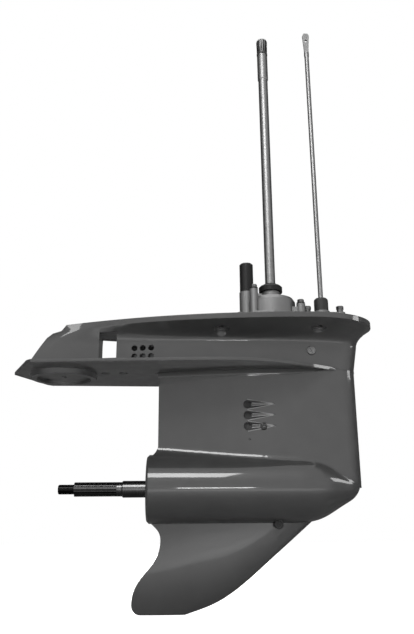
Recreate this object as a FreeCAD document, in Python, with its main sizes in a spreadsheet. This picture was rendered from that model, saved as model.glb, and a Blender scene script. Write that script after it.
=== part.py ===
"""Outboard lower unit: one cast gear housing with everything that it carries.

The model's origin is the centre of the four mounting bolts on the top mating face.
+X points forward, +Z up along the drive shaft, and the propeller shaft runs aft along -X.
Inner pieces are drawn about the crossing of the two shafts and placed there.
"""
import FreeCAD, Part
import math
import os
import Sketcher

SIZES = {
    # Frame: where the shafts cross, seen from the bolt pattern on the mating face
    "prop_drop": 306, "drive_forward": 10,
    "bolt_spacing_x": 182, "bolt_spacing_y": 128, "bolt_hole_r": 5,
    "bolt_pocket_r": 14, "bolt_land": 20,
    # Torpedo of the housing
    "torpedo_r": 60.325, "torpedo_aft": 236, "nose_reach": 150, "nose_start": 15,
    "nose_shoulder": 78, "nose_shoulder_r": 53, "nose_cheek": 119, "nose_cheek_r": 30,
    "rim_chamfer": 4,
    # Strut above the torpedo
    "strut_half": 33, "strut_top_half": 42, "strut_widest": 35, "strut_nose": 153,
    "strut_aft": 217, "strut_tail": 250, "strut_fine": 1.9, "root_fillet": 24,
    "heel_fillet": 14, "heel_sink": 6,
    "weep_r": 1.6, "weep_deep": 8, "weep_fore_x": 40, "weep_fore_z": 204,
    "weep_aft_x": 51, "weep_aft_z": 84,
    # Anti-ventilation plate
    "plate_top": 216, "plate_thick": 5.5, "plate_half": 117, "plate_aft": 437,
    "plate_tip": 489, "plate_tail_half": 105, "plate_nose": 154,
    # Neck and flared lip above the plate
    "neck_half": 47, "neck_nose": 153, "neck_widest": -40, "neck_tail": 482,
    "lip_half": 96, "lip_nose": 190, "lip_widest": 60, "lip_tail": 416, "lip_edge": 10,
    "lip_aft": 395, "neck_aft": 461, "lip_ledge": 428, "flare_start": 261, "neck_lean": 0.22,
    "neck_draft": 0.35, "neck_fine": 2.2, "lip_fine": 2.15,
    # Skeg below the torpedo
    "skeg_root_half": 8, "skeg_tip_half": 3.5, "skeg_drop": 210, "skeg_root_nose": 78,
    "skeg_rake": 200, "skeg_toe": 45, "skeg_buried": 18, "skeg_root_tail": 228,
    "skeg_root_drop": 60, "skeg_waist_tail": 211, "skeg_waist_drop": 88,
    "skeg_tip_tail": 260, "skeg_corner": 16, "skeg_edge": 12,
    # Trim tab seat and openings of the housing
    "tab_seat_x": 396, "tab_seat_r": 64, "tab_seat_drop": 9, "tab_recess_r": 50,
    "tab_recess_deep": 5, "tab_bolt_r": 5, "tab_access_r": 6.5, "tab_access_low": 285,
    "pit_x": 300, "pit_pitch": 34, "pit_y": 13, "pit_r": 8, "pit_deep": 2.5,
    "window_aft": 329, "window_fore": 296, "window_low": 236, "window_high": 285,
    "vent_hole_r": 5.4, "vent_first_x": 262, "vent_pitch": 15.5, "vent_low": 237,
    "vent_rise": 16, "chamber_wall": 9, "chamber_floor": 226, "chamber_aft": 368,
    "chamber_fore": 84, "duct_aft": 172, "duct_fore": 92, "duct_wall": 8,
    # Water intakes
    "intake_x": 54, "intake_mid_z": 127.6, "intake_pitch": 19.75, "intake_r": 7.4,
    "scoop_length": 50, "scoop_r": 9.4, "scoop_tip_r": 1.5, "scoop_deep": 3.5,
    "gallery_fore": 36, "gallery_aft": 76, "gallery_low": 94, "gallery_high": 162,
    "gallery_half": 28, "riser_r": 7,
    "riser_x": 56, "screen_thick": 1.2, "screen_screw_x": 25.3, "screen_screw_z": 107.2,
    "screen_screw_head_r": 6.5, "screen_screw_r": 2.5, "screen_screw_long": 12,
    "screen_pitch": 5.2, "screen_slot": 2.6, "screen_slots": 7,
    # Oil plugs
    "vent_plug_x": 67, "vent_plug_z": 247, "drain_plug_x": -2, "drain_plug_z": -63,
    "plug_head_r": 7.8, "plug_head": 4, "plug_thread_r": 5, "plug_thread": 9,
    "plug_gasket": 1.2, "plug_slot": 1.6,
    # Bores along the propeller shaft axis
    "exhaust_bore_r": 54, "exhaust_bore_end": 92, "pilot_r": 49.5, "pilot_end": 58,
    "gear_bore_r": 48.5, "front_seat": 33, "front_seat_r": 40, "front_shoulder": 54,
    "shift_room_r": 24, "shift_room_end": 112,
    # Bores along the drive shaft axis
    "pinion_room_r": 28.5, "pinion_room_top": 57, "needle_seat_r": 22,
    "cup_seat": 88, "cup_seat_r": 32, "rod_bore_r": 9,
    # Bevel gears: module, teeth, face width and play
    "gear_module": 3.5, "pinion_teeth": 13, "gear_teeth": 26, "gear_face": 15,
    "gear_play": 0.3, "gear_back": 31, "gear_hub_r": 24, "gear_hub_end": 52,
    "gear_recess": 22, "gear_recess_r": 28, "gear_bore": 16, "reverse_bore": 13.6,
    "lug_count": 8, "lug_high": 5, "lug_inner_r": 17, "lug_outer_r": 22.5, "lug_angle": 18,
    # Clutch dog, its pin, spring and plunger
    "dog_r": 22.8, "dog_half": 10.8, "dog_groove_r": 20, "dog_groove": 5,
    "dog_pin_r": 3, "dog_spline_r": 13, "slide_fit": 0.05, "shift_travel": 5.2,
    "plunger_r": 6, "plunger_core_r": 3.5, "plunger_spool_r": 9.5, "plunger_flange": 3.5,
    # Shift lever between rod and plunger
    "lever_z": 22, "lever_reach": 24, "lever_drop": 14.5, "lever_tip_r": 3.6,
    "lever_thick": 6, "lever_hub_r": 5.5, "lever_pin_r": 3, "lever_pin_half": 17,
    "tip_gap": 0.4,
    # Shift rod
    "rod_x": 98.6, "rod_r": 4.75, "rod_round_top": 936, "rod_top": 986, "rod_flat": 4,
    "rod_flat_wide": 15, "rod_eye_r": 3, "rod_eye_z": 966, "rod_spool_r": 8,
    "rod_core_r": 3.3, "rod_swell_r": 5.4,
    # Shift rod cover, bushing and boot
    "cover_bolt_aft": 71, "cover_bolt_fore": 135, "cover_high": 28, "cover_r": 16,
    "cover_ear_r": 10, "cover_ear_high": 26, "boot_r": 13.8, "boot_high": 27, "boot_wall": 3,
    "cover_gasket": 0.8, "cover_bolt_r": 3.5, "cover_head_r": 7.4, "cover_head": 6,
    "cover_collar": 7, "bushing_long": 22,
    # Propeller shaft
    "prop_journal_r": 16, "prop_tail_r": 14.75, "prop_journal_end": 232,
    "prop_tail_end": 281, "prop_spline_r": 12.6, "prop_spline_root": 11.2,
    "prop_spline_end": 367, "prop_spline_count": 15, "prop_thread_r": 8.4, "prop_end": 395,
    "prop_front_r": 12, "prop_bore_deep": 16, "prop_front": 51, "collar_r": 19, "collar_aft": 66,
    "collar_fore": 61, "thrust_washer_r": 23, "hub_end": 58,
    # Drive shaft
    "drive_r": 10, "drive_sleeve_r": 11.2, "sleeve_low": 865, "sleeve_high": 927,
    "drive_top": 964, "drive_spline_r": 12, "drive_spline_root": 10.4,
    "drive_spline_count": 15, "drive_groove_r": 9.4, "groove_high": 4,
    "drive_lower_r": 12.7, "drive_step": 352, "drive_collar_r": 19,
    "cone_seat_r": 16, "pinion_journal_r": 15, "pinion_spline_r": 10,
    "drive_thread_r": 8, "drive_end": 24.6,
    # Pinion nut and hub
    "nut_low": 25.6, "nut_flat": 19, "pinion_hub_r": 16.5, "pinion_hub_top": 56,
    # Bearings of the drive shaft
    "needle_low": 58, "needle_high": 84, "run_gap": 0.05,
    "shim_thick": 1, "cup_high": 21, "cone_end": 112, "lock_ring_high": 9,
    "lock_ring_bore": 24, "roller_count": 12, "roller_r": 2.9, "roller_tilt": 9,
    "roller_inset": 0.18, "roller_end": 3, "race": 3.5,
    # Bearings of the gears and the carrier
    "front_shim": 2, "reverse_bearing_r": 36, "reverse_bearing_fore": 34,
    "reverse_bearing_aft": 50, "carrier_nose_r": 42, "carrier_nose": 33,
    "carrier_barrel_r": 34, "carrier_tail_r": 28, "carrier_bore": 17.5,
    "carrier_ring_fore": 206, "carrier_ring_aft": 224, "carrier_ring_in": 47,
    "carrier_web": 9, "carrier_web_count": 4, "carrier_needle_aft": 192,
    "carrier_needle_fore": 166, "carrier_needle_r": 21, "seal_r": 23, "seal_wide": 8,
    "seal_gap": 0.4, "o_ring": 2.6, "tab_washer": 1, "lock_nut": 7,
    "lock_nut_in": 48, "lock_nut_slots": 8,
    # Seal housing and pump on the mating face
    "seal_flange": 8, "seal_barrel_low": 266, "shaft_seal_r": 20,
    "shaft_seal_low": 271, "shaft_seal_wide": 8, "shaft_hole_r": 14.5,
    "pump_gasket": 0.6, "pump_plate": 1.5, "pump_r": 47, "pump_wall_top": 350,
    "pump_shoulder": 357, "pump_dome_top": 363, "pump_cap_top": 374, "pump_cap_r": 18.5,
    "pump_passage_r": 6.8,
    "liner_r": 35, "liner_wall": 1.2, "liner_high": 24, "impeller_high": 21,
    "vane_count": 6, "vane_thick": 3.2, "vane_gap": 0.5, "impeller_hub_r": 19,
    "key_wide": 5, "key_high": 14, "key_stand": 2.5,
    "tube_x": 47, "tube_boss_r": 14.6, "tube_boss_top": 374, "tube_r": 13.3,
    "tube_bore": 8, "tube_top": 434, "tube_plug": 12, "tube_plug_r": 10.2,
    "post_x": 36.5, "post_y": 34, "post_r": 8, "post_top": 370, "ear_x": 54, "ear_y": 27,
    "ear_r": 8.5, "ear_top": 342, "pump_bolt_r": 3.5, "pump_head_r": 6.5, "pump_head": 6,
    "pump_washer": 3, "pump_washer_r": 8,
    "slinger_r": 23, "slinger_gap": 0.4, "slinger_high": 13.5, "slinger_wall": 4,
    # Dowels of the mating face
    "dowel_fore": 150, "dowel_fore_y": 30, "dowel_aft": 66, "dowel_aft_y": 64, "dowel_r": 4,
    "dowel_deep": 12, "dowel_stand": 8, "bolt_thread": 14,
}


class Size(float):
    """A number that remembers the sheet formula it came from."""

    def __new__(cls, value, text=None):
        number = float.__new__(cls, value)
        number.text = text or repr(float(value))
        return number

    def joined(self, other, sign, turned=False):
        """Combine two sizes, keeping both the value and the formula."""
        other = other if isinstance(other, Size) else Size(other)
        left, right = (other, self) if turned else (self, other)
        values = {"+": float.__add__, "-": float.__sub__,
                  "*": float.__mul__, "/": float.__truediv__}
        return Size(values[sign](left, right), f"({left.text} {sign} {right.text})")

    def __add__(self, other): return self.joined(other, "+")
    def __radd__(self, other): return self.joined(other, "+", True)
    def __sub__(self, other): return self.joined(other, "-")
    def __rsub__(self, other): return self.joined(other, "-", True)
    def __mul__(self, other): return self.joined(other, "*")
    def __rmul__(self, other): return self.joined(other, "*", True)
    def __truediv__(self, other): return self.joined(other, "/")
    def __neg__(self): return self.joined(0, "-", True)


class Sizes:
    """The sheet's cells, read by their aliases."""


document = FreeCAD.newDocument("lower_unit")
sheet = document.addObject("Spreadsheet::Sheet", "sizes")
s = Sizes()
for row, (alias, value) in enumerate(SIZES.items(), start=1):
    sheet.set(f"A{row}", alias)
    sheet.set(f"B{row}", str(value))
    sheet.setAlias(f"B{row}", alias)
    setattr(s, alias, Size(value, "sizes." + alias))
document.recompute()

NODES = []
UP = FreeCAD.Vector(0, 0, 1)
AHEAD = FreeCAD.Vector(1, 0, 0)
ACROSS = FreeCAD.Vector(0, 1, 0)
HALF_DEEP = 400


def vec(x=0, y=0, z=0):
    """A plain vector."""
    return FreeCAD.Vector(float(x), float(y), float(z))


def keep(item, ahead=0):
    """Place a piece at the crossing of the shafts, or ahead of it, and list it for export."""
    item.setExpression("Placement.Base.x", (s.drive_forward + ahead).text)
    item.setExpression("Placement.Base.z", (-s.prop_drop).text)
    NODES.append(item)
    return item


def piece(label, shape):
    """A piece whose shape is worked out from the sheet's sizes."""
    item = document.addObject("Part::Feature", label)
    item.Shape = shape
    return keep(item)


def plane_of(body, role):
    """One of the body's own origin planes or axes."""
    return next(item for item in body.Origin.OriginFeatures if item.Role == role)


def sketch(body, name, points, role, offset=0):
    """A closed outline of straight lines on an origin plane, each corner bound to the sheet."""
    drawn = body.newObject("Sketcher::SketchObject", name)
    drawn.AttachmentSupport = (plane_of(body, role), [""])
    drawn.MapMode = "FlatFace"
    if isinstance(offset, Size):
        drawn.setExpression("AttachmentOffset.Base.z", offset.text)
    corners = [vec(first, second) for first, second in points]
    for at, corner in enumerate(corners):
        drawn.addGeometry(Part.LineSegment(corner, corners[(at + 1) % len(corners)]), False)
    for at in range(len(corners)):
        drawn.addConstraint(Sketcher.Constraint("Coincident", at, 2, (at + 1) % len(corners), 1))
    for at, point in enumerate(points):
        for kind, value in zip(("DistanceX", "DistanceY"), point):
            rule = drawn.addConstraint(Sketcher.Constraint(kind, -1, 1, at, 1, float(value)))
            if isinstance(value, Size):
                drawn.setExpression(f"Constraints[{rule}]", value.text)
    return drawn


def lathe(label, profile, along="Z", ahead=0):
    """A turned piece; the profile is (radius, height) about Z or (station, radius) about X."""
    body = document.addObject("PartDesign::Body", label)
    drawn = sketch(body, label + "_profile", profile, "XZ_Plane")
    spun = body.newObject("PartDesign::Revolution", label + "_turned")
    spun.Profile = drawn
    spun.ReferenceAxis = (drawn, ["V_Axis" if along == "Z" else "H_Axis"])
    spun.Angle = 360
    body.Tip = spun
    return keep(body, ahead)


def ring(label, inner, outer, low, high, along="Z", ahead=0):
    """A plain ring or bush."""
    corners = [(inner, low), (outer, low), (outer, high), (inner, high)]
    if along == "X":
        corners = [(station, radius) for radius, station in corners]
    return lathe(label, corners, along, ahead)


def repeat_cut(body, name, points, start, length, count, along="Z"):
    """Cut one outline along the axis and repeat it round."""
    flat, axis = ("XY_Plane", "Z_Axis") if along == "Z" else ("YZ_Plane", "X_Axis")
    drawn = sketch(body, name + "_outline", points, flat, start)
    cut = body.newObject("PartDesign::Pocket", name)
    cut.Profile = drawn
    cut.Reversed = True
    cut.setExpression("Length", length.text)
    body.Tip = cut
    if count > 1:
        pattern = body.newObject("PartDesign::PolarPattern", name + "_round")
        pattern.Originals = [cut]
        pattern.Axis = (plane_of(body, axis), [""])
        pattern.Angle = 360
        pattern.setExpression("Occurrences", count.text)
        body.Tip = pattern


def add_pad(body, name, points, start, length, count, along="Z"):
    """Add one outline along the axis and repeat it round."""
    flat, axis = ("XY_Plane", "Z_Axis") if along == "Z" else ("YZ_Plane", "X_Axis")
    drawn = sketch(body, name + "_outline", points, flat, start)
    pad = body.newObject("PartDesign::Pad", name)
    pad.Profile = drawn
    pad.setExpression("Length", length.text)
    pattern = body.newObject("PartDesign::PolarPattern", name + "_round")
    pattern.Originals = [pad]
    pattern.Axis = (plane_of(body, axis), [""])
    pattern.Angle = 360
    pattern.setExpression("Occurrences", count.text)
    body.Tip = pattern


def rod(radius, start, end):
    """A cylinder between two points."""
    start, end = vec(*start), vec(*end)
    return Part.makeCylinder(radius, (end - start).Length, start, end - start)


def block(low, high):
    """A box between two corners."""
    size = vec(*high) - vec(*low)
    return Part.makeBox(size.x, size.y, size.z, vec(*low))


def turned(points, axis=UP, x=0):
    """A solid of revolution from (radius, height) points about an axis on the keel plane."""
    place = (lambda r, h: vec(x + r, 0, h)) if axis is UP else (lambda r, h: vec(h, 0, r))
    corners = [place(*point) for point in points]
    face = Part.Face(Part.makePolygon(corners + corners[:1]))
    return face.revolve(vec(x), axis, 360)


def slab(points, low, high):
    """A prism standing on a closed outline of straight lines."""
    corners = [vec(x, y, low) for x, y in points]
    return Part.Face(Part.makePolygon(corners + corners[:1])).extrude(vec(0, 0, high - low))


def mirrored(shape):
    """The same shape on the other side of the keel plane."""
    return shape.mirror(vec(), ACROSS)


# Housing outside
def waterline(nose, widest, tail, half, height, aft_power):
    """One level of the casting: an elliptic leading end and a tail that thins to an edge."""
    steps = 6
    side = []
    for step in range(steps + 1):
        share = 1 - step / steps
        side.append((widest + (tail - widest) * share, half * (1 - share ** aft_power)))
    for step in range(1, steps):
        turn = math.radians(90 * step / steps)
        side.append((widest + (nose - widest) * math.sin(turn), half * math.cos(turn)))
    loop = side + [(nose, 0)] + [(x, -y) for x, y in reversed(side)]
    curve = Part.BSplineCurve()
    curve.interpolate([vec(x, y, height) for x, y in loop])
    return Part.Wire(curve.toShape())


def side_view(points):
    """A slab across the whole width with the given side view."""
    corners = [vec(x, 0, z) for x, z in points]
    return right_through(Part.makePolygon(corners + corners[:1]))


def right_through(outline):
    """A slab across the whole width standing on an outline in the keel plane."""
    face = Part.Face(outline)
    face.translate(vec(0, -HALF_DEEP, 0))
    return face.extrude(vec(0, 2 * HALF_DEEP, 0))


def torpedo():
    """The round gearcase: a straight barrel with a bullet nose."""
    start = vec(-s.torpedo_aft, 0, 0)
    rim = vec(-s.torpedo_aft, 0, s.torpedo_r - s.rim_chamfer)
    shoulder = vec(-s.torpedo_aft + s.rim_chamfer, 0, s.torpedo_r)
    top = vec(s.nose_start, 0, s.torpedo_r)
    shoulder_in = vec(s.nose_shoulder, 0, s.nose_shoulder_r)
    cheek = vec(s.nose_cheek, 0, s.nose_cheek_r)
    tip = vec(s.nose_reach, 0, 0)
    nose = Part.BSplineCurve()
    nose.interpolate([top, shoulder_in, cheek, tip], InitialTangent=vec(1, 0, 0),
                     FinalTangent=vec(0.35, 0, -1))
    edges = [Part.makeLine(start, rim), Part.makeLine(rim, shoulder),
             Part.makeLine(shoulder, top), nose.toShape(), Part.makeLine(tip, start)]
    return Part.Face(Part.Wire(edges)).revolve(vec(), AHEAD, 360)


def strut():
    """The blade between the torpedo and the plate."""
    foot = waterline(s.strut_nose, s.strut_widest, -s.strut_tail, s.strut_half, 0,
                     s.strut_fine)
    head = waterline(s.strut_nose, s.strut_widest, -s.strut_tail, s.strut_top_half,
                     s.plate_top - s.plate_thick / 2, s.strut_fine)
    view = side_view([(s.nose_reach + 20, 0), (s.nose_reach + 20, s.plate_top),
                      (-s.strut_aft, s.plate_top), (-s.strut_aft, 0)])
    return Part.makeLoft([foot, head], True, True).common(view)


def rooted(barrel, blade):
    """The blade joined to the barrel by a broad cast fillet along each side."""
    joined = barrel.fuse(blade)
    root = []
    for edge in joined.Edges:
        if edge.Degenerated:
            continue
        first, last = edge.ParameterRange
        ends = [edge.valueAt(first + (last - first) * share) for share in (0.02, 0.5, 0.98)]
        on_barrel = all(abs(math.hypot(p.y, p.z) - s.torpedo_r) < 0.05 for p in ends)
        above = all(p.z > s.torpedo_r / 3 for p in ends)
        if on_barrel and above and edge.BoundBox.XLength > s.root_fillet:
            root.append(edge)
    filleted = joined.makeFillet(s.root_fillet, root)
    return filleted.fuse(strut_heel(filleted))


def strut_heel(filleted):
    """The small hollow curve between the strut's trailing edge and the barrel behind it."""
    ends = [face for face in filleted.Faces if face.BoundBox.ZMin > 0
            and abs(face.BoundBox.XMin + s.strut_aft) + face.BoundBox.XLength < 0.01]
    reach, top = s.heel_fillet, s.torpedo_r
    upper = vec(-s.strut_aft, 0, top + reach)
    middle = vec(-s.strut_aft - 0.3 * reach, 0, top + 0.3 * reach)
    lower = vec(-s.strut_aft - reach, 0, top - s.heel_sink)
    foot = vec(-s.strut_aft - reach, 0, top - s.root_fillet)
    corner = vec(-s.strut_aft, 0, top - s.root_fillet)
    outline = Part.Wire([Part.Arc(upper, middle, lower).toShape(), Part.makeLine(lower, foot),
                         Part.makeLine(foot, corner), Part.makeLine(corner, upper)])
    slab_across = right_through(outline)
    return [face.extrude(vec(-reach, 0, 0)).common(slab_across) for face in ends]


def skeg():
    """The fin under the torpedo: thin levels that rake aft, cut to a curved trailing edge."""
    levels = 10
    top = s.torpedo_r - s.skeg_buried
    tail = s.skeg_tip_tail + s.skeg_edge
    sections = []
    for step in range(levels + 1):
        share = step / levels
        height = -top - (s.skeg_drop - top) * share
        nose = s.skeg_root_nose - s.skeg_rake * share - s.skeg_toe * share ** 10
        half = s.skeg_root_half + (s.skeg_tip_half - s.skeg_root_half) * share
        sections.append(waterline(nose, nose - 0.3 * (nose + tail), -tail, half, height, 2.4))
    fin = Part.makeLoft(sections, True, False)
    return fin.common(right_through(skeg_outline()))


def skeg_outline():
    """Side view of the skeg: straight on top, rounded at the heel, hollow behind."""
    low = -s.skeg_drop
    inset = s.skeg_corner * (1 - math.sqrt(0.5))
    front = [vec(-s.skeg_root_tail, 0, 0), vec(s.nose_reach, 0, 0), vec(s.nose_reach, 0, low),
             vec(-s.skeg_tip_tail + s.skeg_corner, 0, low)]
    round_mid = vec(-s.skeg_tip_tail + inset, 0, low + inset)
    heel = vec(-s.skeg_tip_tail, 0, low + s.skeg_corner)
    waist = vec(-s.skeg_waist_tail, 0, -s.skeg_waist_drop)
    root = vec(-s.skeg_root_tail, 0, -s.skeg_root_drop)
    lower, upper = Part.BSplineCurve(), Part.BSplineCurve()
    lower.interpolate([heel, waist], InitialTangent=UP, FinalTangent=UP)
    upper.interpolate([waist, root], InitialTangent=UP, FinalTangent=vec(-1, 0, 1))
    edges = [Part.makeLine(*pair) for pair in zip(front, front[1:])]
    edges += [Part.Arc(front[-1], round_mid, heel).toShape(), lower.toShape(), upper.toShape(),
              Part.makeLine(root, front[0])]
    return Part.Wire(edges)


def plate():
    """The anti-ventilation plate: swept in at the front, pointed at the tail."""
    nose = vec(s.plate_nose, 0, s.plate_top - s.plate_thick)
    flank = [(79, 0.47), (0, 0.84), (-72, 1), (-141, 1.01), (-300, 0.95)]
    corner = (-s.plate_aft, s.plate_tail_half)
    points = [nose] + [vec(x, s.plate_half * share, nose.z) for x, share in flank]
    points.append(vec(*corner, nose.z))
    side = Part.BSplineCurve()
    side.interpolate(points)
    shoulder = vec(-s.plate_aft - 9, s.plate_tail_half - 9, nose.z)
    tail = vec(-s.plate_tip, 0, nose.z)
    half = [side.toShape(), Part.makeLine(points[-1], shoulder), Part.makeLine(shoulder, tail)]
    wire = Part.Wire(half + [mirrored(edge) for edge in half[::-1]])
    board = Part.Face(wire).extrude(vec(0, 0, s.plate_thick))
    return board


def neck():
    """The top casting: an upright stem that flares in a hollow curve to the mating lip."""
    low, top = s.plate_top - s.plate_thick / 2, s.prop_drop
    under = top - s.lip_edge

    def level(height, ahead, aside, behind):
        return waterline(s.neck_nose + (s.lip_nose - s.neck_nose) * ahead,
                         s.neck_widest + (s.lip_widest - s.neck_widest) * aside,
                         -s.neck_tail + (s.neck_tail - s.lip_tail) * behind,
                         s.neck_half + (s.lip_half - s.neck_half) * aside,
                         height, s.neck_fine + (s.lip_fine - s.neck_fine) * aside)
    stem = Part.makeLoft([level(low, 0, 0, 0),
                          level(s.flare_start, s.neck_lean, 0, s.neck_draft)], True, True)
    levels = 6
    flare = []
    for step in range(levels + 1):
        share = step / levels
        flare.append(level(s.flare_start + (under - s.flare_start) * share,
                           s.neck_lean + (1 - s.neck_lean) * share ** 2, share ** 2.2,
                           s.neck_draft + (1 - s.neck_draft) * share))
    rim = Part.Face(level(under, 1, 1, 1)).extrude(vec(0, 0, s.lip_edge))
    body = stem.fuse([Part.makeLoft(flare, True, False), rim])
    view = side_view([(s.lip_nose + 20, low), (s.lip_nose + 20, top), (-s.lip_aft, top),
                      (-s.lip_aft - 10, top - 11), (-s.lip_ledge, top - 16),
                      (-s.neck_aft, s.plate_top + 22), (-s.neck_aft - 10, s.plate_top),
                      (-s.neck_aft - 10, low)])
    return body.common(view)


def tab_seat():
    """The round seat under the plate's tail, where a trim tab would bolt on."""
    low = s.plate_top - s.plate_thick - s.tab_seat_drop
    return Part.makeCone(s.tab_seat_r - 4, s.tab_seat_r, s.tab_seat_drop + 2,
                         vec(-s.tab_seat_x, 0, low))


# Housing inside
def prop_bores():
    """Exhaust bore, pilot, gear room, front bearing seat and shift room on the prop axis."""
    stations = [(s.exhaust_bore_r, -s.torpedo_aft - 5), (s.exhaust_bore_r, -s.exhaust_bore_end),
                (s.pilot_r, -s.exhaust_bore_end), (s.pilot_r, -s.pilot_end),
                (s.gear_bore_r, -s.pilot_end), (s.gear_bore_r, s.front_seat),
                (s.front_seat_r, s.front_seat), (s.front_seat_r, s.front_shoulder),
                (s.shift_room_r, s.front_shoulder), (s.shift_room_r, s.shift_room_end - 12),
                (s.shift_room_r - 12, s.shift_room_end), (0, s.shift_room_end),
                (0, -s.torpedo_aft - 5)]
    return turned(stations, AHEAD)


def drive_bores():
    """Pinion room, needle seat and the wide bore up to the mating face on the drive axis."""
    return turned([(0, 0), (s.pinion_room_r, 0), (s.pinion_room_r, s.pinion_room_top),
                   (s.needle_seat_r, s.pinion_room_top), (s.needle_seat_r, s.cup_seat),
                   (s.cup_seat_r, s.cup_seat), (s.cup_seat_r, s.prop_drop + 5),
                   (0, s.prop_drop + 5)])


LEVER_X = s.rod_x - s.rod_core_r - s.tip_gap - s.lever_tip_r - s.lever_reach


def shift_bores():
    """The shift rod's bore, the lever's slot and its pin hole."""
    bore = rod(s.rod_bore_r, (s.rod_x, 0, 0), (s.rod_x, 0, s.prop_drop + 5))
    reach = LEVER_X - s.lever_hub_r - 3
    slot = block((reach, -s.lever_thick / 2 - 1, 0),
                 (s.rod_x, s.lever_thick / 2 + 1, s.lever_z + s.lever_hub_r + 7))
    pin = rod(s.lever_pin_r, (LEVER_X, -s.lever_pin_half, s.lever_z),
              (LEVER_X, s.lever_pin_half, s.lever_z))
    return bore.fuse([slot, pin])


def exhaust_rooms():
    """The open chamber in the neck and the duct that joins it to the torpedo."""
    top = s.prop_drop + 5
    sections = [waterline(s.neck_nose, s.neck_widest, -tail, s.neck_half - s.chamber_wall,
                          height, s.neck_fine)
                for height, tail in ((s.chamber_floor, s.neck_tail), (top, s.lip_tail))]
    hollow = Part.makeLoft(sections, True, True)
    room = hollow.common(block((-s.chamber_aft, -HALF_DEEP, s.chamber_floor),
                               (-s.chamber_fore, HALF_DEEP, top)))
    sections = [waterline(s.strut_nose, s.strut_widest, 2 * s.duct_wall - s.strut_tail,
                          s.strut_half - s.duct_wall, height, s.strut_fine)
                for height in (0, s.chamber_floor + 1)]
    duct = Part.makeLoft(sections, True, True).common(
        block((-s.duct_aft, -HALF_DEEP, 0), (-s.duct_fore, HALF_DEEP, s.chamber_floor + 1)))
    return room.fuse(duct)


def intake_rooms():
    """Three holes and scoops on each side, the gallery behind them and its riser."""
    cuts = [block((-s.gallery_aft, -s.gallery_half, s.gallery_low),
                  (-s.gallery_fore, s.gallery_half, s.gallery_high)),
            rod(s.riser_r, (-s.riser_x, 0, s.gallery_high - 1), (-s.riser_x, 0, s.prop_drop + 5))]
    for number in (-1, 0, 1):
        height = s.intake_mid_z + number * s.intake_pitch
        cuts.append(rod(s.intake_r, (-s.intake_x, -HALF_DEEP, height),
                        (-s.intake_x, HALF_DEEP, height)))
        cuts += scoop(height)
    return cuts


def blade_half(x, z):
    """Half the strut's thickness at a point of its side."""
    share = z / (s.plate_top - s.plate_thick / 2)
    half = s.strut_half + (s.strut_top_half - s.strut_half) * share
    back = max(0, (s.strut_widest - x) / (s.strut_widest + s.strut_tail))
    return half * (1 - back ** s.strut_fine)


def scoop(height):
    """A pair of teardrop grooves that lead the water into one hole from ahead."""
    tip_x = -s.intake_x + s.scoop_length
    start = vec(-s.intake_x, -blade_half(-s.intake_x, height) - s.scoop_r + s.scoop_deep, height)
    end = vec(tip_x, -blade_half(tip_x, height) - s.scoop_tip_r / 2, height)
    groove = Part.makeCone(s.scoop_r, s.scoop_tip_r, (end - start).Length, start, end - start)
    return [groove, mirrored(groove)]


def screw_face():
    """Depth of the seat of the screen screws, on the floor of the lowest scoop."""
    return blade_half(-s.screen_screw_x, s.screen_screw_z) - s.scoop_deep / 2


def plug_holes():
    """Counterbored holes for the two oil plugs."""
    vent = plug_cut(s.vent_plug_x, vent_face(), s.vent_plug_z)
    drain = plug_cut(s.drain_plug_x, drain_face(), s.drain_plug_z)
    return [vent, drain]


def vent_face():
    """Where the vent plug's seat lies across the neck."""
    share = (s.vent_plug_x - s.neck_widest) / (s.neck_nose - s.neck_widest)
    return -s.neck_half * math.sqrt(1 - share ** 2) + 2.5


def drain_face():
    """Where the drain plug's seat lies on the skeg's root."""
    return -s.skeg_root_half - 9


def plug_cut(x, y, z):
    """A spot face and a threaded hole, from the starboard side inwards."""
    face = rod(s.plug_head_r + 0.6, (x, y, z), (x, y - 40, z))
    hole = rod(s.plug_thread_r, (x, y + s.plug_thread + 4, z), (x, y, z))
    return face.fuse(hole)


def mount_holes():
    """Four bolt holes through the lip with open pockets below for the heads."""
    cuts = []
    centre = -s.drive_forward
    for side_x in (-1, 1):
        for side_y in (-1, 1):
            x = centre + side_x * s.bolt_spacing_x / 2
            y = side_y * s.bolt_spacing_y / 2
            cuts.append(rod(s.bolt_hole_r, (x, y, s.plate_top + 5), (x, y, s.prop_drop + 5)))
            cuts.append(rod(s.bolt_pocket_r, (x, y, s.plate_top + 12),
                            (x, y, s.prop_drop - s.bolt_land)))
    return cuts


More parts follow.
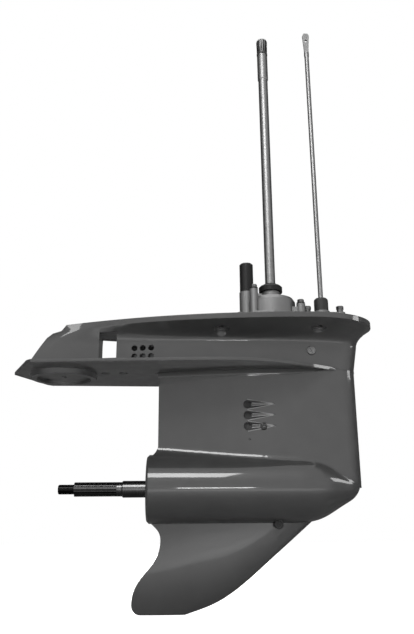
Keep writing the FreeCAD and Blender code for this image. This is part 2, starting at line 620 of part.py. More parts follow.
def small_openings():
    """The window, the two rows of relief holes, the tab recess and two drillings."""
    cuts = [block((-s.window_aft, -HALF_DEEP, s.window_low),
                  (-s.window_fore, HALF_DEEP, s.window_high))]
    for column in range(3):
        for row in range(2):
            x = -s.vent_first_x + column * s.vent_pitch
            z = s.vent_low + row * s.vent_rise
            cuts.append(rod(s.vent_hole_r, (x, -HALF_DEEP, z), (x, HALF_DEEP, z)))
    low = s.plate_top - s.plate_thick - s.tab_seat_drop
    cuts.append(rod(s.tab_recess_r, (-s.tab_seat_x, 0, low - 1),
                    (-s.tab_seat_x, 0, low + s.tab_recess_deep)))
    cuts.append(rod(s.tab_bolt_r, (-s.tab_seat_x, 0, low), (-s.tab_seat_x, 0, s.prop_drop)))
    cuts.append(rod(s.tab_access_r, (-s.tab_seat_x, 0, s.tab_access_low),
                    (-s.tab_seat_x, 0, s.prop_drop + 5)))
    under = s.plate_top - s.plate_thick
    for side in (-1, 1):
        x = -s.pit_x + side * s.pit_pitch / 2
        cuts.append(rod(s.pit_r, (x, -s.pit_y, under - 5), (x, -s.pit_y, under + s.pit_deep)))
    for x, z in ((s.weep_fore_x, s.weep_fore_z), (-s.weep_aft_x, s.weep_aft_z)):
        face = -blade_half(x, z)
        cuts.append(rod(s.weep_r, (x, face - 20, z), (x, face + s.weep_deep, z)))
    for x, y in dowel_places():
        cuts.append(rod(s.dowel_r, (x, y, s.prop_drop - s.dowel_deep), (x, y, s.prop_drop + 1)))
    for side in (-1, 1):
        x, z = -s.screen_screw_x, s.screen_screw_z
        seat, end = side * screw_face(), side * (screw_face() - s.screen_screw_long)
        cuts.append(rod(s.screen_screw_r, (x, end, z), (x, seat, z)))
        cuts.append(rod(s.screen_screw_head_r + 0.5, (x, seat, z), (x, side * 60, z)))
    for x, y in pump_bolt_places():
        cuts.append(rod(s.pump_bolt_r, (x, y, s.prop_drop - s.bolt_thread),
                        (x, y, s.prop_drop + 1)))
    for x in (s.cover_bolt_aft, s.cover_bolt_fore):
        cuts.append(rod(s.cover_bolt_r, (x, 0, s.prop_drop - s.bolt_thread),
                        (x, 0, s.prop_drop + 1)))
    return cuts


def dowel_places():
    """The two dowels stand on opposite sides of the keel plane."""
    return [(s.dowel_fore, s.dowel_fore_y), (-s.dowel_aft, -s.dowel_aft_y)]


def pump_bolt_places():
    """Two tall posts beside the water tube and two ears ahead of the shaft."""
    return [(-s.post_x, -s.post_y), (-s.post_x, s.post_y), (s.ear_x, -s.ear_y),
            (s.ear_x, s.ear_y)]


outside = rooted(torpedo(), strut()).fuse([skeg(), plate(), neck(), tab_seat()])
casting = outside.cut([prop_bores(), drive_bores(), shift_bores(), exhaust_rooms()])
casting = casting.cut(intake_rooms() + plug_holes() + mount_holes() + small_openings())
piece("gear_housing", casting)


# Trim of the housing: plugs, screens and dowels
def oil_plug(x, y, z):
    """A slotted plug whose head points to starboard."""
    seat = y - s.plug_gasket
    head = rod(s.plug_head_r, (x, seat, z), (x, seat - s.plug_head, z))
    thread = rod(s.plug_thread_r, (x, seat, z), (x, y + s.plug_thread, z))
    slot = block((x - s.plug_slot / 2, seat - s.plug_head - 1, z - 20),
                 (x + s.plug_slot / 2, seat - s.plug_head / 2, z + 20))
    return head.fuse(thread).cut(slot)


def oil_gasket(x, y, z):
    """The sealing ring under a plug's head."""
    disc = rod(s.plug_head_r - 0.5, (x, y, z), (x, y - s.plug_gasket, z))
    return disc.cut(rod(s.plug_thread_r, (x, y, z), (x, y - s.plug_gasket, z)))


vent_seat = (s.vent_plug_x, vent_face(), s.vent_plug_z)
drain_seat = (s.drain_plug_x, drain_face(), s.drain_plug_z)
piece("vent_plug", oil_plug(*vent_seat))
piece("drain_plug", oil_plug(*drain_seat))
piece("plug_gaskets", Part.makeCompound([oil_gasket(*vent_seat), oil_gasket(*drain_seat)]))


def water_screen():
    """A slotted strainer plate against the gallery's starboard wall."""
    play = 1
    low = (-s.gallery_aft + play, -s.gallery_half, s.gallery_low + play)
    high = (-s.gallery_fore - play, -s.gallery_half + s.screen_thick, s.gallery_high - play)
    plate_shape = block(low, high)
    middle = (s.screen_slots - 1) / 2
    for number in range(int(s.screen_slots)):
        x = -(s.gallery_aft + s.gallery_fore) / 2 + (number - middle) * s.screen_pitch
        plate_shape = plate_shape.cut(block(
            (x - s.screen_slot / 2, -s.gallery_half - 1, s.gallery_low + 6),
            (x + s.screen_slot / 2, -s.gallery_half + s.screen_thick + 1, s.gallery_high - 6)))
    return plate_shape


def screen_screw():
    """A pan-head screw in the lowest starboard scoop."""
    x, z, seat = -s.screen_screw_x, s.screen_screw_z, -screw_face()
    head = Part.makeCone(s.screen_screw_head_r, s.screen_screw_head_r - 1.5, 3,
                         vec(x, seat, z), vec(0, -1, 0))
    return head.fuse(rod(s.screen_screw_r, (x, seat, z), (x, seat + s.screen_screw_long, z)))


piece("water_screens", Part.makeCompound([water_screen(), mirrored(water_screen())]))
piece("screen_screws", Part.makeCompound([screen_screw(), mirrored(screen_screw())]))
piece("dowel_pins", Part.makeCompound(
    [rod(s.dowel_r, (x, y, s.prop_drop - s.dowel_deep), (x, y, s.prop_drop + s.dowel_stand))
     for x, y in dowel_places()]))


# Bevel gears
PRESSURE = math.radians(20)
RATIO = s.gear_teeth / s.pinion_teeth
CONE_LENGTH = s.gear_module / 2 * math.hypot(s.gear_teeth, s.pinion_teeth)
INNER_SHARE = (CONE_LENGTH - s.gear_face) / CONE_LENGTH
GEAR_ADDENDUM = (0.54 + 0.46 / RATIO ** 2) * s.gear_module
PINION_ADDENDUM = 2 * s.gear_module - GEAR_ADDENDUM
WHOLE_DEPTH = 2.188 * s.gear_module
PITCH = math.pi * s.gear_module
GEAR_THICK = PITCH / 2 - (PINION_ADDENDUM - GEAR_ADDENDUM) * math.tan(PRESSURE)
PINION_THICK = PITCH - GEAR_THICK


def tooth_outline(teeth, cone, addendum, thick):
    """Half-width and height of one tooth on its back cone, from below the root to the tip."""
    radius = s.gear_module * teeth / 2 / math.cos(cone)
    base = radius * math.cos(PRESSURE)
    root = radius - (WHOLE_DEPTH - addendum)
    start = max(base, root)
    tip = radius + addendum
    flank = []
    for at in [root - 1.2, root] + [start + (tip - start) * step / 4 for step in range(5)]:
        roll = math.acos(min(1, base / at))
        turn = (thick - s.gear_play / 2) / 2 / radius
        turn += math.tan(PRESSURE) - PRESSURE - math.tan(roll) + roll
        flank.append((at * math.sin(turn), at * math.cos(turn) - radius))
    if start - root < 0.05:
        flank.pop(1)
    return flank + [(-across, high) for across, high in reversed(flank)]


def tooth(outline, cone, put):
    """One straight bevel tooth, thinning towards the crossing of the shafts."""
    rings = []
    for share in (1, INNER_SHARE):
        corners = []
        for across, high in outline:
            axial = CONE_LENGTH * math.cos(cone) - high * math.sin(cone)
            radial = CONE_LENGTH * math.sin(cone) + high * math.cos(cone)
            corners.append(put(axial * share, radial * share, across * share))
        rings.append(Part.makePolygon(corners + corners[:1]))
    return Part.makeLoft(rings, True, True)


def root_point(cone, addendum, share):
    """Axial place and radius of the tooth root at the outer or inner end."""
    deep = WHOLE_DEPTH - addendum
    return (share * (CONE_LENGTH * math.cos(cone) + deep * math.sin(cone)),
            share * (CONE_LENGTH * math.sin(cone) - deep * math.cos(cone)))


def toothed(blank, teeth, cone, addendum, thick, put_at, first):
    """The blank with its ring of teeth."""
    outline = tooth_outline(teeth, cone, addendum, thick)
    ring_of_teeth = []
    for number in range(int(teeth)):
        angle = 2 * math.pi * (number + first) / teeth
        ring_of_teeth.append(tooth(outline, cone, put_at(angle)))
    return blank.fuse(ring_of_teeth)


def sector(inner, outer, middle, span, start, end):
    """A block of a ring about the propeller shaft axis, angles in degrees from the top."""
    def at(radius, angle):
        turn = math.radians(angle)
        return vec(start, radius * math.sin(turn), radius * math.cos(turn))
    low, high = middle - span / 2, middle + span / 2
    edges = [Part.Arc(at(outer, low), at(outer, middle), at(outer, high)).toShape(),
             Part.makeLine(at(outer, high), at(inner, high)),
             Part.Arc(at(inner, high), at(inner, middle), at(inner, low)).toShape(),
             Part.makeLine(at(inner, low), at(outer, low))]
    return Part.Face(Part.Wire(edges)).extrude(vec(end - start, 0, 0))


def side_gear(side, first, bore, hub_end):
    """A driven gear: teeth towards the pinion, clutch lugs inside, hub to the outside."""
    cone = math.atan2(s.gear_teeth, s.pinion_teeth)
    outer_x, outer_r = root_point(cone, GEAR_ADDENDUM, 1)
    inner_x, inner_r = root_point(cone, GEAR_ADDENDUM, INNER_SHARE)
    step = s.gear_back + 3
    profile = [(bore, s.gear_recess), (s.gear_recess_r, s.gear_recess),
               (s.gear_recess_r, inner_x), (inner_r, inner_x), (outer_r, outer_x),
               (outer_r - 1, s.gear_back), (s.gear_hub_r + 3, s.gear_back),
               (s.gear_hub_r + 3, step), (s.gear_hub_r, step), (s.gear_hub_r, hub_end),
               (bore, hub_end)]
    blank = turned([(radius, side * station) for radius, station in profile], AHEAD)

    def put_at(angle):
        sine, cosine = math.sin(angle), math.cos(angle)
        return lambda axial, radial, across: vec(
            side * axial, radial * sine + across * cosine, radial * cosine - across * sine)
    gear = toothed(blank, s.gear_teeth, cone, GEAR_ADDENDUM, GEAR_THICK, put_at, first)
    lugs = []
    for number in range(int(s.lug_count)):
        middle = 360 * (number + 0.5) / s.lug_count
        lugs.append(sector(s.lug_inner_r, s.lug_outer_r, middle, s.lug_angle,
                           side * s.gear_recess, side * (s.gear_recess - s.lug_high)))
    return gear.fuse(lugs)


def pinion():
    """The driving bevel gear, splined to the drive shaft's foot."""
    cone = math.atan2(s.pinion_teeth, s.gear_teeth)
    outer_z, outer_r = root_point(cone, PINION_ADDENDUM, 1)
    inner_z, inner_r = root_point(cone, PINION_ADDENDUM, INNER_SHARE)
    blank = turned([(s.pinion_spline_r, inner_z), (inner_r, inner_z), (outer_r, outer_z),
                    (s.pinion_hub_r, outer_z + 2), (s.pinion_hub_r, s.pinion_hub_top),
                    (s.pinion_spline_r, s.pinion_hub_top)])

    def put_at(angle):
        sine, cosine = math.sin(angle), math.cos(angle)
        return lambda axial, radial, across: vec(
            radial * cosine - across * sine, radial * sine + across * cosine, axial)
    return toothed(blank, s.pinion_teeth, cone, PINION_ADDENDUM, PINION_THICK, put_at, 0)


NUT_TOP = root_point(math.atan2(s.pinion_teeth, s.gear_teeth), PINION_ADDENDUM, INNER_SHARE)[0]
piece("pinion_gear", pinion())
piece("forward_gear", side_gear(1, 0.5, s.gear_bore, s.gear_hub_end))
piece("reverse_gear", side_gear(-1, 0, s.reverse_bore, s.hub_end))


def hexagon(flats, low, high, x=0, y=0):
    """A six-sided prism standing on a level face."""
    reach = flats / 2 / math.cos(math.radians(30))
    corners = [(x + reach * math.cos(math.radians(60 * n)),
                y + reach * math.sin(math.radians(60 * n))) for n in range(6)]
    return slab(corners, low, high)


piece("pinion_nut", hexagon(s.nut_flat, s.nut_low, NUT_TOP).cut(
    rod(s.drive_thread_r, (0, 0, 0), (0, 0, NUT_TOP))))


# Drive shaft and what turns with it
drive_foot = s.pinion_hub_top
driveshaft = lathe("driveshaft", [
    (0, s.drive_end), (s.drive_thread_r, s.drive_end), (s.drive_thread_r, NUT_TOP),
    (s.pinion_spline_r, NUT_TOP), (s.pinion_spline_r, drive_foot),
    (s.pinion_journal_r, drive_foot), (s.pinion_journal_r, s.cup_seat + s.shim_thick),
    (s.cone_seat_r, s.cup_seat + s.shim_thick), (s.cone_seat_r, s.cone_end),
    (s.drive_collar_r, s.cone_end), (s.drive_collar_r, s.cone_end + 6),
    (s.drive_lower_r, s.cone_end + 6), (s.drive_lower_r, s.drive_step),
    (s.drive_r, s.drive_step + 3), (s.drive_r, s.sleeve_low - 2),
    (s.drive_sleeve_r, s.sleeve_low), (s.drive_sleeve_r, s.sleeve_high),
    (s.drive_groove_r, s.sleeve_high), (s.drive_groove_r, s.sleeve_high + s.groove_high),
    (s.drive_sleeve_r, s.sleeve_high + s.groove_high), (s.drive_spline_r, s.drive_top - 3),
    (s.drive_spline_r - 1, s.drive_top), (0, s.drive_top)])
spline_low = s.sleeve_high + s.groove_high + 2
repeat_cut(driveshaft, "drive_spline",
           [(-0.9, s.drive_spline_root), (0.9, s.drive_spline_root),
            (1.5, s.drive_spline_r + 2), (-1.5, s.drive_spline_r + 2)],
           spline_low, s.drive_top - spline_low + 1, s.drive_spline_count)
stack_low = s.prop_drop + s.seal_flange + s.pump_gasket + s.pump_plate
key_low = stack_low + 3
repeat_cut(driveshaft, "keyway",
           [(s.drive_lower_r - s.key_stand, -s.key_wide / 2),
            (s.drive_lower_r + 1, -s.key_wide / 2),
            (s.drive_lower_r + 1, s.key_wide / 2),
            (s.drive_lower_r - s.key_stand, s.key_wide / 2)],
           key_low, s.key_high, Size(1))
ring("driveshaft_o_ring", s.drive_groove_r, s.drive_sleeve_r + 0.5,
     s.sleeve_high, s.sleeve_high + s.groove_high)
piece("impeller_key", block((s.drive_lower_r - s.key_stand, -s.key_wide / 2, key_low),
                            (s.drive_lower_r + s.key_stand, s.key_wide / 2,
                             key_low + s.key_high)))
vane_tip = s.liner_r - s.liner_wall - s.vane_gap
impeller_low = stack_low + 0.5
impeller = ring("impeller", s.drive_lower_r, s.impeller_hub_r, impeller_low,
                impeller_low + s.impeller_high)
add_pad(impeller, "vane",
        [(s.impeller_hub_r - 2, -s.vane_thick / 2), (vane_tip - 3, s.vane_thick),
         (vane_tip - 1, s.vane_thick * 1.2), (vane_tip - 1, s.vane_thick * 2.2),
         (vane_tip - 4, s.vane_thick * 2), (s.impeller_hub_r - 2, s.vane_thick / 2)],
        impeller_low, s.impeller_high, s.vane_count)
repeat_cut(impeller, "key_slot",
           [(s.drive_lower_r - 2, -s.key_wide / 2),
            (s.drive_lower_r + s.key_stand, -s.key_wide / 2),
            (s.drive_lower_r + s.key_stand, s.key_wide / 2),
            (s.drive_lower_r - 2, s.key_wide / 2)],
           impeller_low - 1, s.impeller_high + 2, Size(1))
slinger_low = s.pump_cap_top + s.slinger_gap
slinger_top = slinger_low + s.slinger_high
lathe("slinger_ring", [
    (s.drive_r, slinger_low + 3), (s.slinger_r - s.slinger_wall, slinger_low + 3),
    (s.slinger_r - s.slinger_wall, slinger_low), (s.slinger_r, slinger_low),
    (s.slinger_r, slinger_top - 4), (s.slinger_r - 3, slinger_top - 1),
    (s.drive_r + 3, slinger_top), (s.drive_r + 3, slinger_top + 3),
    (s.drive_r, slinger_top + 3)])


# Bearings
def taper_bearing(prefix, bore, outside, start, end, along, opens):
    """Cup, cone and rollers; the races widen towards the side that opens names."""
    middle = (bore + outside) / 2
    centre = (start + end) / 2
    lean = math.tan(math.radians(s.roller_tilt)) * opens
    gap = s.roller_r / math.cos(math.radians(s.roller_tilt)) + s.run_gap
    at_start, at_end = (start - centre) * lean, (end - centre) * lean
    cup = [(outside, start), (outside, end), (middle + gap + at_end, end),
           (middle + gap + at_start, start)]
    cone = [(bore, start), (middle - gap + at_start, start), (middle - gap + at_end, end),
            (bore, end)]
    if along == "X":
        cup = [(station, radius) for radius, station in cup]
        cone = [(station, radius) for radius, station in cone]
    lathe(prefix + "_cup", cup, along)
    lathe(prefix + "_cone", cone, along)
    rollers = []
    for number in range(int(s.roller_count)):
        turn = 2 * math.pi * number / s.roller_count
        ends = []
        for share in (s.roller_inset, 1 - s.roller_inset):
            station = start + (end - start) * share
            radius = middle + (station - centre) * lean
            side, up = radius * math.cos(turn), radius * math.sin(turn)
            ends.append((station, side, up) if along == "X" else (side, up, station))
        rollers.append(rod(s.roller_r, *ends))
    piece(prefix + "_rollers", Part.makeCompound(rollers))


cup_low = s.cup_seat + s.shim_thick
ring("pinion_bearing", s.pinion_journal_r + s.run_gap, s.needle_seat_r, s.needle_low,
     s.needle_high)
ring("upper_bearing_shims", s.lock_ring_bore, s.cup_seat_r, s.cup_seat, cup_low)
taper_bearing("upper_bearing", s.cone_seat_r, s.cup_seat_r, cup_low, cup_low + s.cup_high, "Z", 1)
ring("bearing_lock_ring", s.lock_ring_bore + 4, s.cup_seat_r, cup_low + s.cup_high,
     cup_low + s.cup_high + s.lock_ring_high)
front_low = s.gear_back + 3
taper_bearing("forward_bearing", s.gear_hub_r, s.front_seat_r, front_low,
              s.front_shoulder - s.front_shim, "X", -1)
ring("forward_shims", s.shift_room_r + 6, s.front_seat_r, s.front_shoulder - s.front_shim,
     s.front_shoulder, "X")
ring("forward_gear_bushing", s.prop_front_r + s.run_gap, s.gear_bore, s.gear_recess + 3,
     s.gear_hub_end - 2, "X")
ring("reverse_bearing_inner", s.gear_hub_r, s.gear_hub_r + s.race, -s.reverse_bearing_aft,
     -s.reverse_bearing_fore, "X")
ring("reverse_bearing_outer", s.reverse_bearing_r - s.race, s.reverse_bearing_r,
     -s.reverse_bearing_aft, -s.reverse_bearing_fore, "X")
ball_r = (s.reverse_bearing_r - s.gear_hub_r) / 2 - s.race - s.run_gap
ball_circle = (s.reverse_bearing_r + s.gear_hub_r) / 2
piece("reverse_bearing_rollers", Part.makeCompound([
    rod(ball_r, (-s.reverse_bearing_aft + s.roller_end, ball_circle * math.cos(turn),
                 ball_circle * math.sin(turn)),
        (-s.reverse_bearing_fore - s.roller_end, ball_circle * math.cos(turn),
         ball_circle * math.sin(turn)))
    for turn in [2 * math.pi * n / s.roller_count for n in range(int(s.roller_count))]]))


# Propeller shaft, clutch and shift plunger
dog_tip = s.dog_half + s.lug_high
spline_reach = dog_tip + s.shift_travel + s.tip_gap
shaft_profile = [
    (0, -s.prop_end), (s.prop_thread_r - 1, -s.prop_end), (s.prop_thread_r, -s.prop_end + 1.5),
    (s.prop_thread_r, -s.prop_spline_end), (s.prop_spline_r, -s.prop_spline_end + 1),
    (s.prop_spline_r, -s.prop_tail_end), (s.prop_tail_r, -s.prop_tail_end + 2),
    (s.prop_tail_r, -s.prop_journal_end), (s.prop_journal_r, -s.prop_journal_end),
    (s.prop_journal_r, -s.collar_aft), (s.collar_r, -s.collar_aft), (s.collar_r, -s.collar_fore),
    (s.dog_spline_r, -s.collar_fore), (s.dog_spline_r, spline_reach),
    (s.prop_front_r, spline_reach), (s.prop_front_r, s.prop_front),
    (s.plunger_r + s.slide_fit, s.prop_front), (s.plunger_r + s.slide_fit, -s.prop_bore_deep),
    (0, -s.prop_bore_deep)]
propshaft = lathe("propshaft", [(station, radius) for radius, station in shaft_profile], "X")
repeat_cut(propshaft, "prop_spline",
           [(-1, s.prop_spline_root), (1, s.prop_spline_root),
            (1.6, s.prop_spline_r + 1), (-1.6, s.prop_spline_r + 1)],
           -s.prop_spline_end - 1, s.prop_spline_end - s.prop_tail_end - 8,
           s.prop_spline_count, "X")
slot_half = s.dog_pin_r + s.shift_travel + 0.3
pin_slot = propshaft.newObject("PartDesign::Pocket", "pin_slot")
pin_slot.Profile = sketch(propshaft, "pin_slot_outline",
                          [(-slot_half, -s.dog_pin_r - 0.05), (slot_half, -s.dog_pin_r - 0.05),
                           (slot_half, s.dog_pin_r + 0.05), (-slot_half, s.dog_pin_r + 0.05)],
                          "XY_Plane")
pin_slot.setExpression("Length", (4 * s.dog_r).text)
pin_slot.Midplane = True
propshaft.Tip = pin_slot


def clutch_dog():
    """The sliding sleeve: lugs at both ends, a splined bore and a groove for its spring."""
    fit = s.dog_spline_r + s.slide_fit
    profile = [(fit, -s.dog_half), (s.dog_r, -s.dog_half), (s.dog_r, -s.dog_groove / 2),
               (s.dog_groove_r, -s.dog_groove / 2), (s.dog_groove_r, s.dog_groove / 2),
               (s.dog_r, s.dog_groove / 2), (s.dog_r, s.dog_half), (fit, s.dog_half)]
    sleeve = turned(profile, AHEAD)
    lugs = []
    for side in (-1, 1):
        for number in range(int(s.lug_count)):
            lugs.append(sector(s.lug_inner_r, s.dog_r, 360 * number / s.lug_count, s.lug_angle,
                               side * s.dog_half, side * dog_tip))
    pin = rod(s.dog_pin_r, (0, 0, -s.dog_r), (0, 0, s.dog_r))
    return sleeve.fuse(lugs).cut(pin)


piece("clutch_dog", clutch_dog())
pin_half = math.sqrt(s.dog_groove_r ** 2 - s.dog_pin_r ** 2)
piece("clutch_pin", rod(s.dog_pin_r, (0, 0, -pin_half), (0, 0, pin_half)))
ring("clutch_spring", s.dog_groove_r + 0.05, s.dog_r - 0.8, -s.dog_groove / 2 + 0.1,
     s.dog_groove / 2 - 0.1, "X")
groove = s.lever_tip_r + s.tip_gap
plunger = lathe("shift_plunger", [
    (-9, 0), (-9, s.plunger_r), (LEVER_X - groove - s.plunger_flange, s.plunger_r),
    (LEVER_X - groove - s.plunger_flange, s.plunger_spool_r),
    (LEVER_X - groove, s.plunger_spool_r), (LEVER_X - groove, s.plunger_core_r),
    (LEVER_X + groove, s.plunger_core_r), (LEVER_X + groove, s.plunger_spool_r),
    (LEVER_X + groove + s.plunger_flange, s.plunger_spool_r),
    (LEVER_X + groove + s.plunger_flange, 0)], "X")
pin_hole = plunger.newObject("PartDesign::Pocket", "pin_hole")
pin_hole.Profile = sketch(plunger, "pin_hole_outline",
                          [(-s.dog_pin_r, -s.dog_pin_r), (s.dog_pin_r, -s.dog_pin_r),
                           (s.dog_pin_r, s.dog_pin_r), (-s.dog_pin_r, s.dog_pin_r)], "XY_Plane")
pin_hole.setExpression("Length", (4 * s.plunger_r).text)
pin_hole.Midplane = True
plunger.Tip = pin_hole
ring("thrust_washer", s.dog_spline_r, s.thrust_washer_r, -s.collar_fore, -s.hub_end - 0.4, "X")


# Shift lever and rod
def shift_lever():
    """A flat bell crank with a rounded finger at each end."""
    half = s.lever_thick / 2
    x, z = LEVER_X, s.lever_z
    parts = [rod(radius, (px, -half, pz), (px, half, pz)) for radius, px, pz in
             ((s.lever_hub_r, x, z), (s.lever_tip_r, x + s.lever_reach, z),
              (s.lever_tip_r, x, z - s.lever_drop))]
    arm = s.lever_tip_r - 1
    bars = [block((x, -half, z - arm), (x + s.lever_reach, half, z + arm)),
            block((x - arm, -half, z - s.lever_drop), (x + arm, half, z))]
    pin = rod(s.lever_pin_r + s.run_gap, (x, -half - 1, z), (x, half + 1, z))
    return parts[0].fuse(parts[1:] + bars).cut(pin)


piece("shift_lever", shift_lever())
piece("lever_pin", rod(s.lever_pin_r, (LEVER_X, -s.lever_pin_half, s.lever_z),
                       (LEVER_X, s.lever_pin_half, s.lever_z)))


def shift_rod():
    """The long rod: a grooved spool at its foot and a flattened eye at its head."""
    z = s.lever_z
    shank = turned([(0, z - groove - 4), (s.rod_spool_r, z - groove - 4),
                    (s.rod_spool_r, z - groove), (s.rod_core_r, z - groove),
                    (s.rod_core_r, z + groove), (s.rod_spool_r, z + groove),
                    (s.rod_spool_r, z + groove + 4), (s.rod_r, z + groove + 7),
                    (s.rod_r, s.rod_round_top - 14), (s.rod_swell_r, s.rod_round_top - 8),
                    (s.rod_swell_r, s.rod_round_top), (0, s.rod_round_top)], UP, s.rod_x)
    half_wide, half_thick = s.rod_flat_wide / 2, s.rod_flat / 2
    neck_low, shoulder = s.rod_round_top - 6, s.rod_round_top + 14
    blade = [(-s.rod_swell_r + 1, neck_low), (s.rod_swell_r - 1, neck_low),
             (half_wide - 2, shoulder), (half_wide, s.rod_top - 6), (half_wide - 3, s.rod_top),
             (-half_wide + 3, s.rod_top), (-half_wide, s.rod_top - 6), (-half_wide + 2, shoulder)]
    corners = [vec(s.rod_x + x, -half_thick, height) for x, height in blade]
    head = Part.Face(Part.makePolygon(corners + corners[:1])).extrude(vec(0, s.rod_flat, 0))
    eye = rod(s.rod_eye_r, (s.rod_x, -half_thick - 1, s.rod_eye_z),
              (s.rod_x, half_thick + 1, s.rod_eye_z))
    return shank.fuse(head).cut(eye)


piece("shift_rod", shift_rod())
ring("shift_rod_bushing", s.rod_r + s.run_gap, s.rod_bore_r, s.prop_drop - s.bushing_long,
     s.prop_drop, "Z", s.rod_x)
cover_low = s.prop_drop + s.cover_gasket
cover_top = cover_low + s.cover_high


def cover_body(low, high, ear_high):
    """The shift rod cover's outline: a round boss between two bolt ears."""
    boss = rod(s.cover_r, (s.rod_x, 0, low), (s.rod_x, 0, high))
    ears = [rod(s.cover_ear_r, (x, 0, low), (x, 0, ear_high))
            for x in (s.cover_bolt_aft, s.cover_bolt_fore)]
    web = block((s.cover_bolt_aft, -s.cover_ear_r + 2, low),
                (s.cover_bolt_fore, s.cover_ear_r - 2, ear_high))
    holes = [rod(s.rod_r + 0.6, (s.rod_x, 0, low - 1), (s.rod_x, 0, high + 1))]
    holes += [rod(s.cover_bolt_r, (x, 0, low - 1), (x, 0, high + 1))
              for x in (s.cover_bolt_aft, s.cover_bolt_fore)]
    return boss.fuse(ears + [web]).cut(holes)


piece("shift_rod_cover", cover_body(cover_low, cover_top, cover_low + s.cover_ear_high))
piece("shift_cover_gasket", cover_body(s.prop_drop, cover_low, cover_low))
boot_top = cover_top + s.boot_high
lathe("shift_boot", [
    (s.rod_r + s.run_gap, cover_top), (s.boot_r, cover_top), (s.boot_r, boot_top - 5),
    (s.boot_r - 0.8, boot_top - 2), (s.boot_r - 3, boot_top),
    (s.rod_r + s.boot_wall, boot_top), (s.rod_r + s.boot_wall, boot_top - 2),
    (s.rod_r + s.run_gap, boot_top - 2)], "Z", s.rod_x)


def hex_bolt(x, y, seat, foot, shank_r, head_r, head, collar=0):
    """A hexagon-head bolt standing upright, with an optional collar under the head."""
    head_low = seat + collar
    parts = [hexagon(2 * head_r * math.cos(math.radians(30)), head_low, head_low + head, x, y)]
    if collar:
        parts.append(rod(head_r - 1, (x, y, seat), (x, y, head_low)))
    return rod(shank_r, (x, y, foot), (x, y, head_low)).fuse(parts)


piece("shift_cover_bolts", Part.makeCompound([
    hex_bolt(x, 0, cover_low + s.cover_ear_high, s.prop_drop - s.bolt_thread, s.cover_bolt_r,
             s.cover_head_r, s.cover_head, s.cover_collar)
    for x in (s.cover_bolt_aft, s.cover_bolt_fore)]))


# Bearing carrier and the parts in the torpedo's mouth
def carrier():
    """The long cast carrier: nose, sealed pilot, barrel and a webbed ring at the mouth."""
    seal_low = s.carrier_ring_fore
    profile = [(s.reverse_bearing_r, -s.carrier_nose), (s.carrier_nose_r, -s.carrier_nose),
               (s.carrier_nose_r, -s.pilot_end), (s.pilot_r, -s.pilot_end),
               (s.pilot_r, -s.exhaust_bore_end + 2), (s.carrier_barrel_r, -s.exhaust_bore_end - 8),
               (s.carrier_tail_r, -s.carrier_ring_fore), (s.carrier_tail_r, -s.carrier_ring_aft),
               (s.seal_r, -s.carrier_ring_aft), (s.seal_r, -seal_low),
               (s.carrier_bore, -seal_low), (s.carrier_bore, -s.carrier_needle_aft),
               (s.carrier_needle_r, -s.carrier_needle_aft),
               (s.carrier_needle_r, -s.carrier_needle_fore),
               (s.carrier_bore, -s.carrier_needle_fore), (s.carrier_bore, -s.collar_aft - 3),
               (s.thrust_washer_r + 2, -s.collar_aft - 3),
               (s.thrust_washer_r + 2, -s.reverse_bearing_aft),
               (s.reverse_bearing_r, -s.reverse_bearing_aft)]
    body = turned(profile, AHEAD)
    mouth = turned([(s.carrier_ring_in, -s.carrier_ring_aft),
                    (s.exhaust_bore_r, -s.carrier_ring_aft),
                    (s.exhaust_bore_r, -s.carrier_ring_fore),
                    (s.carrier_ring_in, -s.carrier_ring_fore)], AHEAD)
    webs = []
    for number in range(int(s.carrier_web_count)):
        web = block((-s.carrier_ring_aft + 3, -s.carrier_web / 2, s.carrier_tail_r - 2),
                    (-s.carrier_ring_fore, s.carrier_web / 2, s.carrier_ring_in + 1))
        web.rotate(vec(), AHEAD, 45 + 360 * number / s.carrier_web_count)
        webs.append(web)
    groove_x = -(s.exhaust_bore_end + s.pilot_end) / 2
    groove_cut = turned([(s.pilot_r - 2, groove_x - s.o_ring / 2),
                         (s.pilot_r + 1, groove_x - s.o_ring / 2),
                         (s.pilot_r + 1, groove_x + s.o_ring / 2),
                         (s.pilot_r - 2, groove_x + s.o_ring / 2)], AHEAD)
    return body.fuse(webs + [mouth]).cut(groove_cut)


piece("bearing_carrier", carrier())
o_ring_x = -(s.exhaust_bore_end + s.pilot_end) / 2
ring("carrier_o_ring", s.pilot_r - 2, s.pilot_r, o_ring_x - s.o_ring / 2,
     o_ring_x + s.o_ring / 2, "X")
ring("carrier_needle_bearing", s.prop_journal_r + s.run_gap, s.carrier_needle_r,
     -s.carrier_needle_aft, -s.carrier_needle_fore, "X")
seal_stop = -s.carrier_ring_fore - 0.6
piece("propshaft_seals", Part.makeCompound([
    turned([(s.prop_journal_r + s.run_gap, low), (s.seal_r, low), (s.seal_r, low + s.seal_wide),
            (s.prop_journal_r + s.run_gap, low + s.seal_wide)], AHEAD)
    for low in (seal_stop - s.seal_wide, seal_stop - 2 * s.seal_wide - s.seal_gap)]))
washer_aft = s.carrier_ring_aft + s.tab_washer
ring("tab_washer", s.lock_nut_in, s.exhaust_bore_r, -washer_aft, -s.carrier_ring_aft, "X")
lock_nut = ring("carrier_lock_ring", s.lock_nut_in, s.exhaust_bore_r, -washer_aft - s.lock_nut,
                -washer_aft, "X")
repeat_cut(lock_nut, "spanner_slot",
           [(-3, s.lock_nut_in - 1), (3, s.lock_nut_in - 1), (3, s.lock_nut_in + 3),
            (-3, s.lock_nut_in + 3)], -washer_aft - s.lock_nut - 1, s.lock_nut / 2 + 1,
           s.lock_nut_slots, "X")


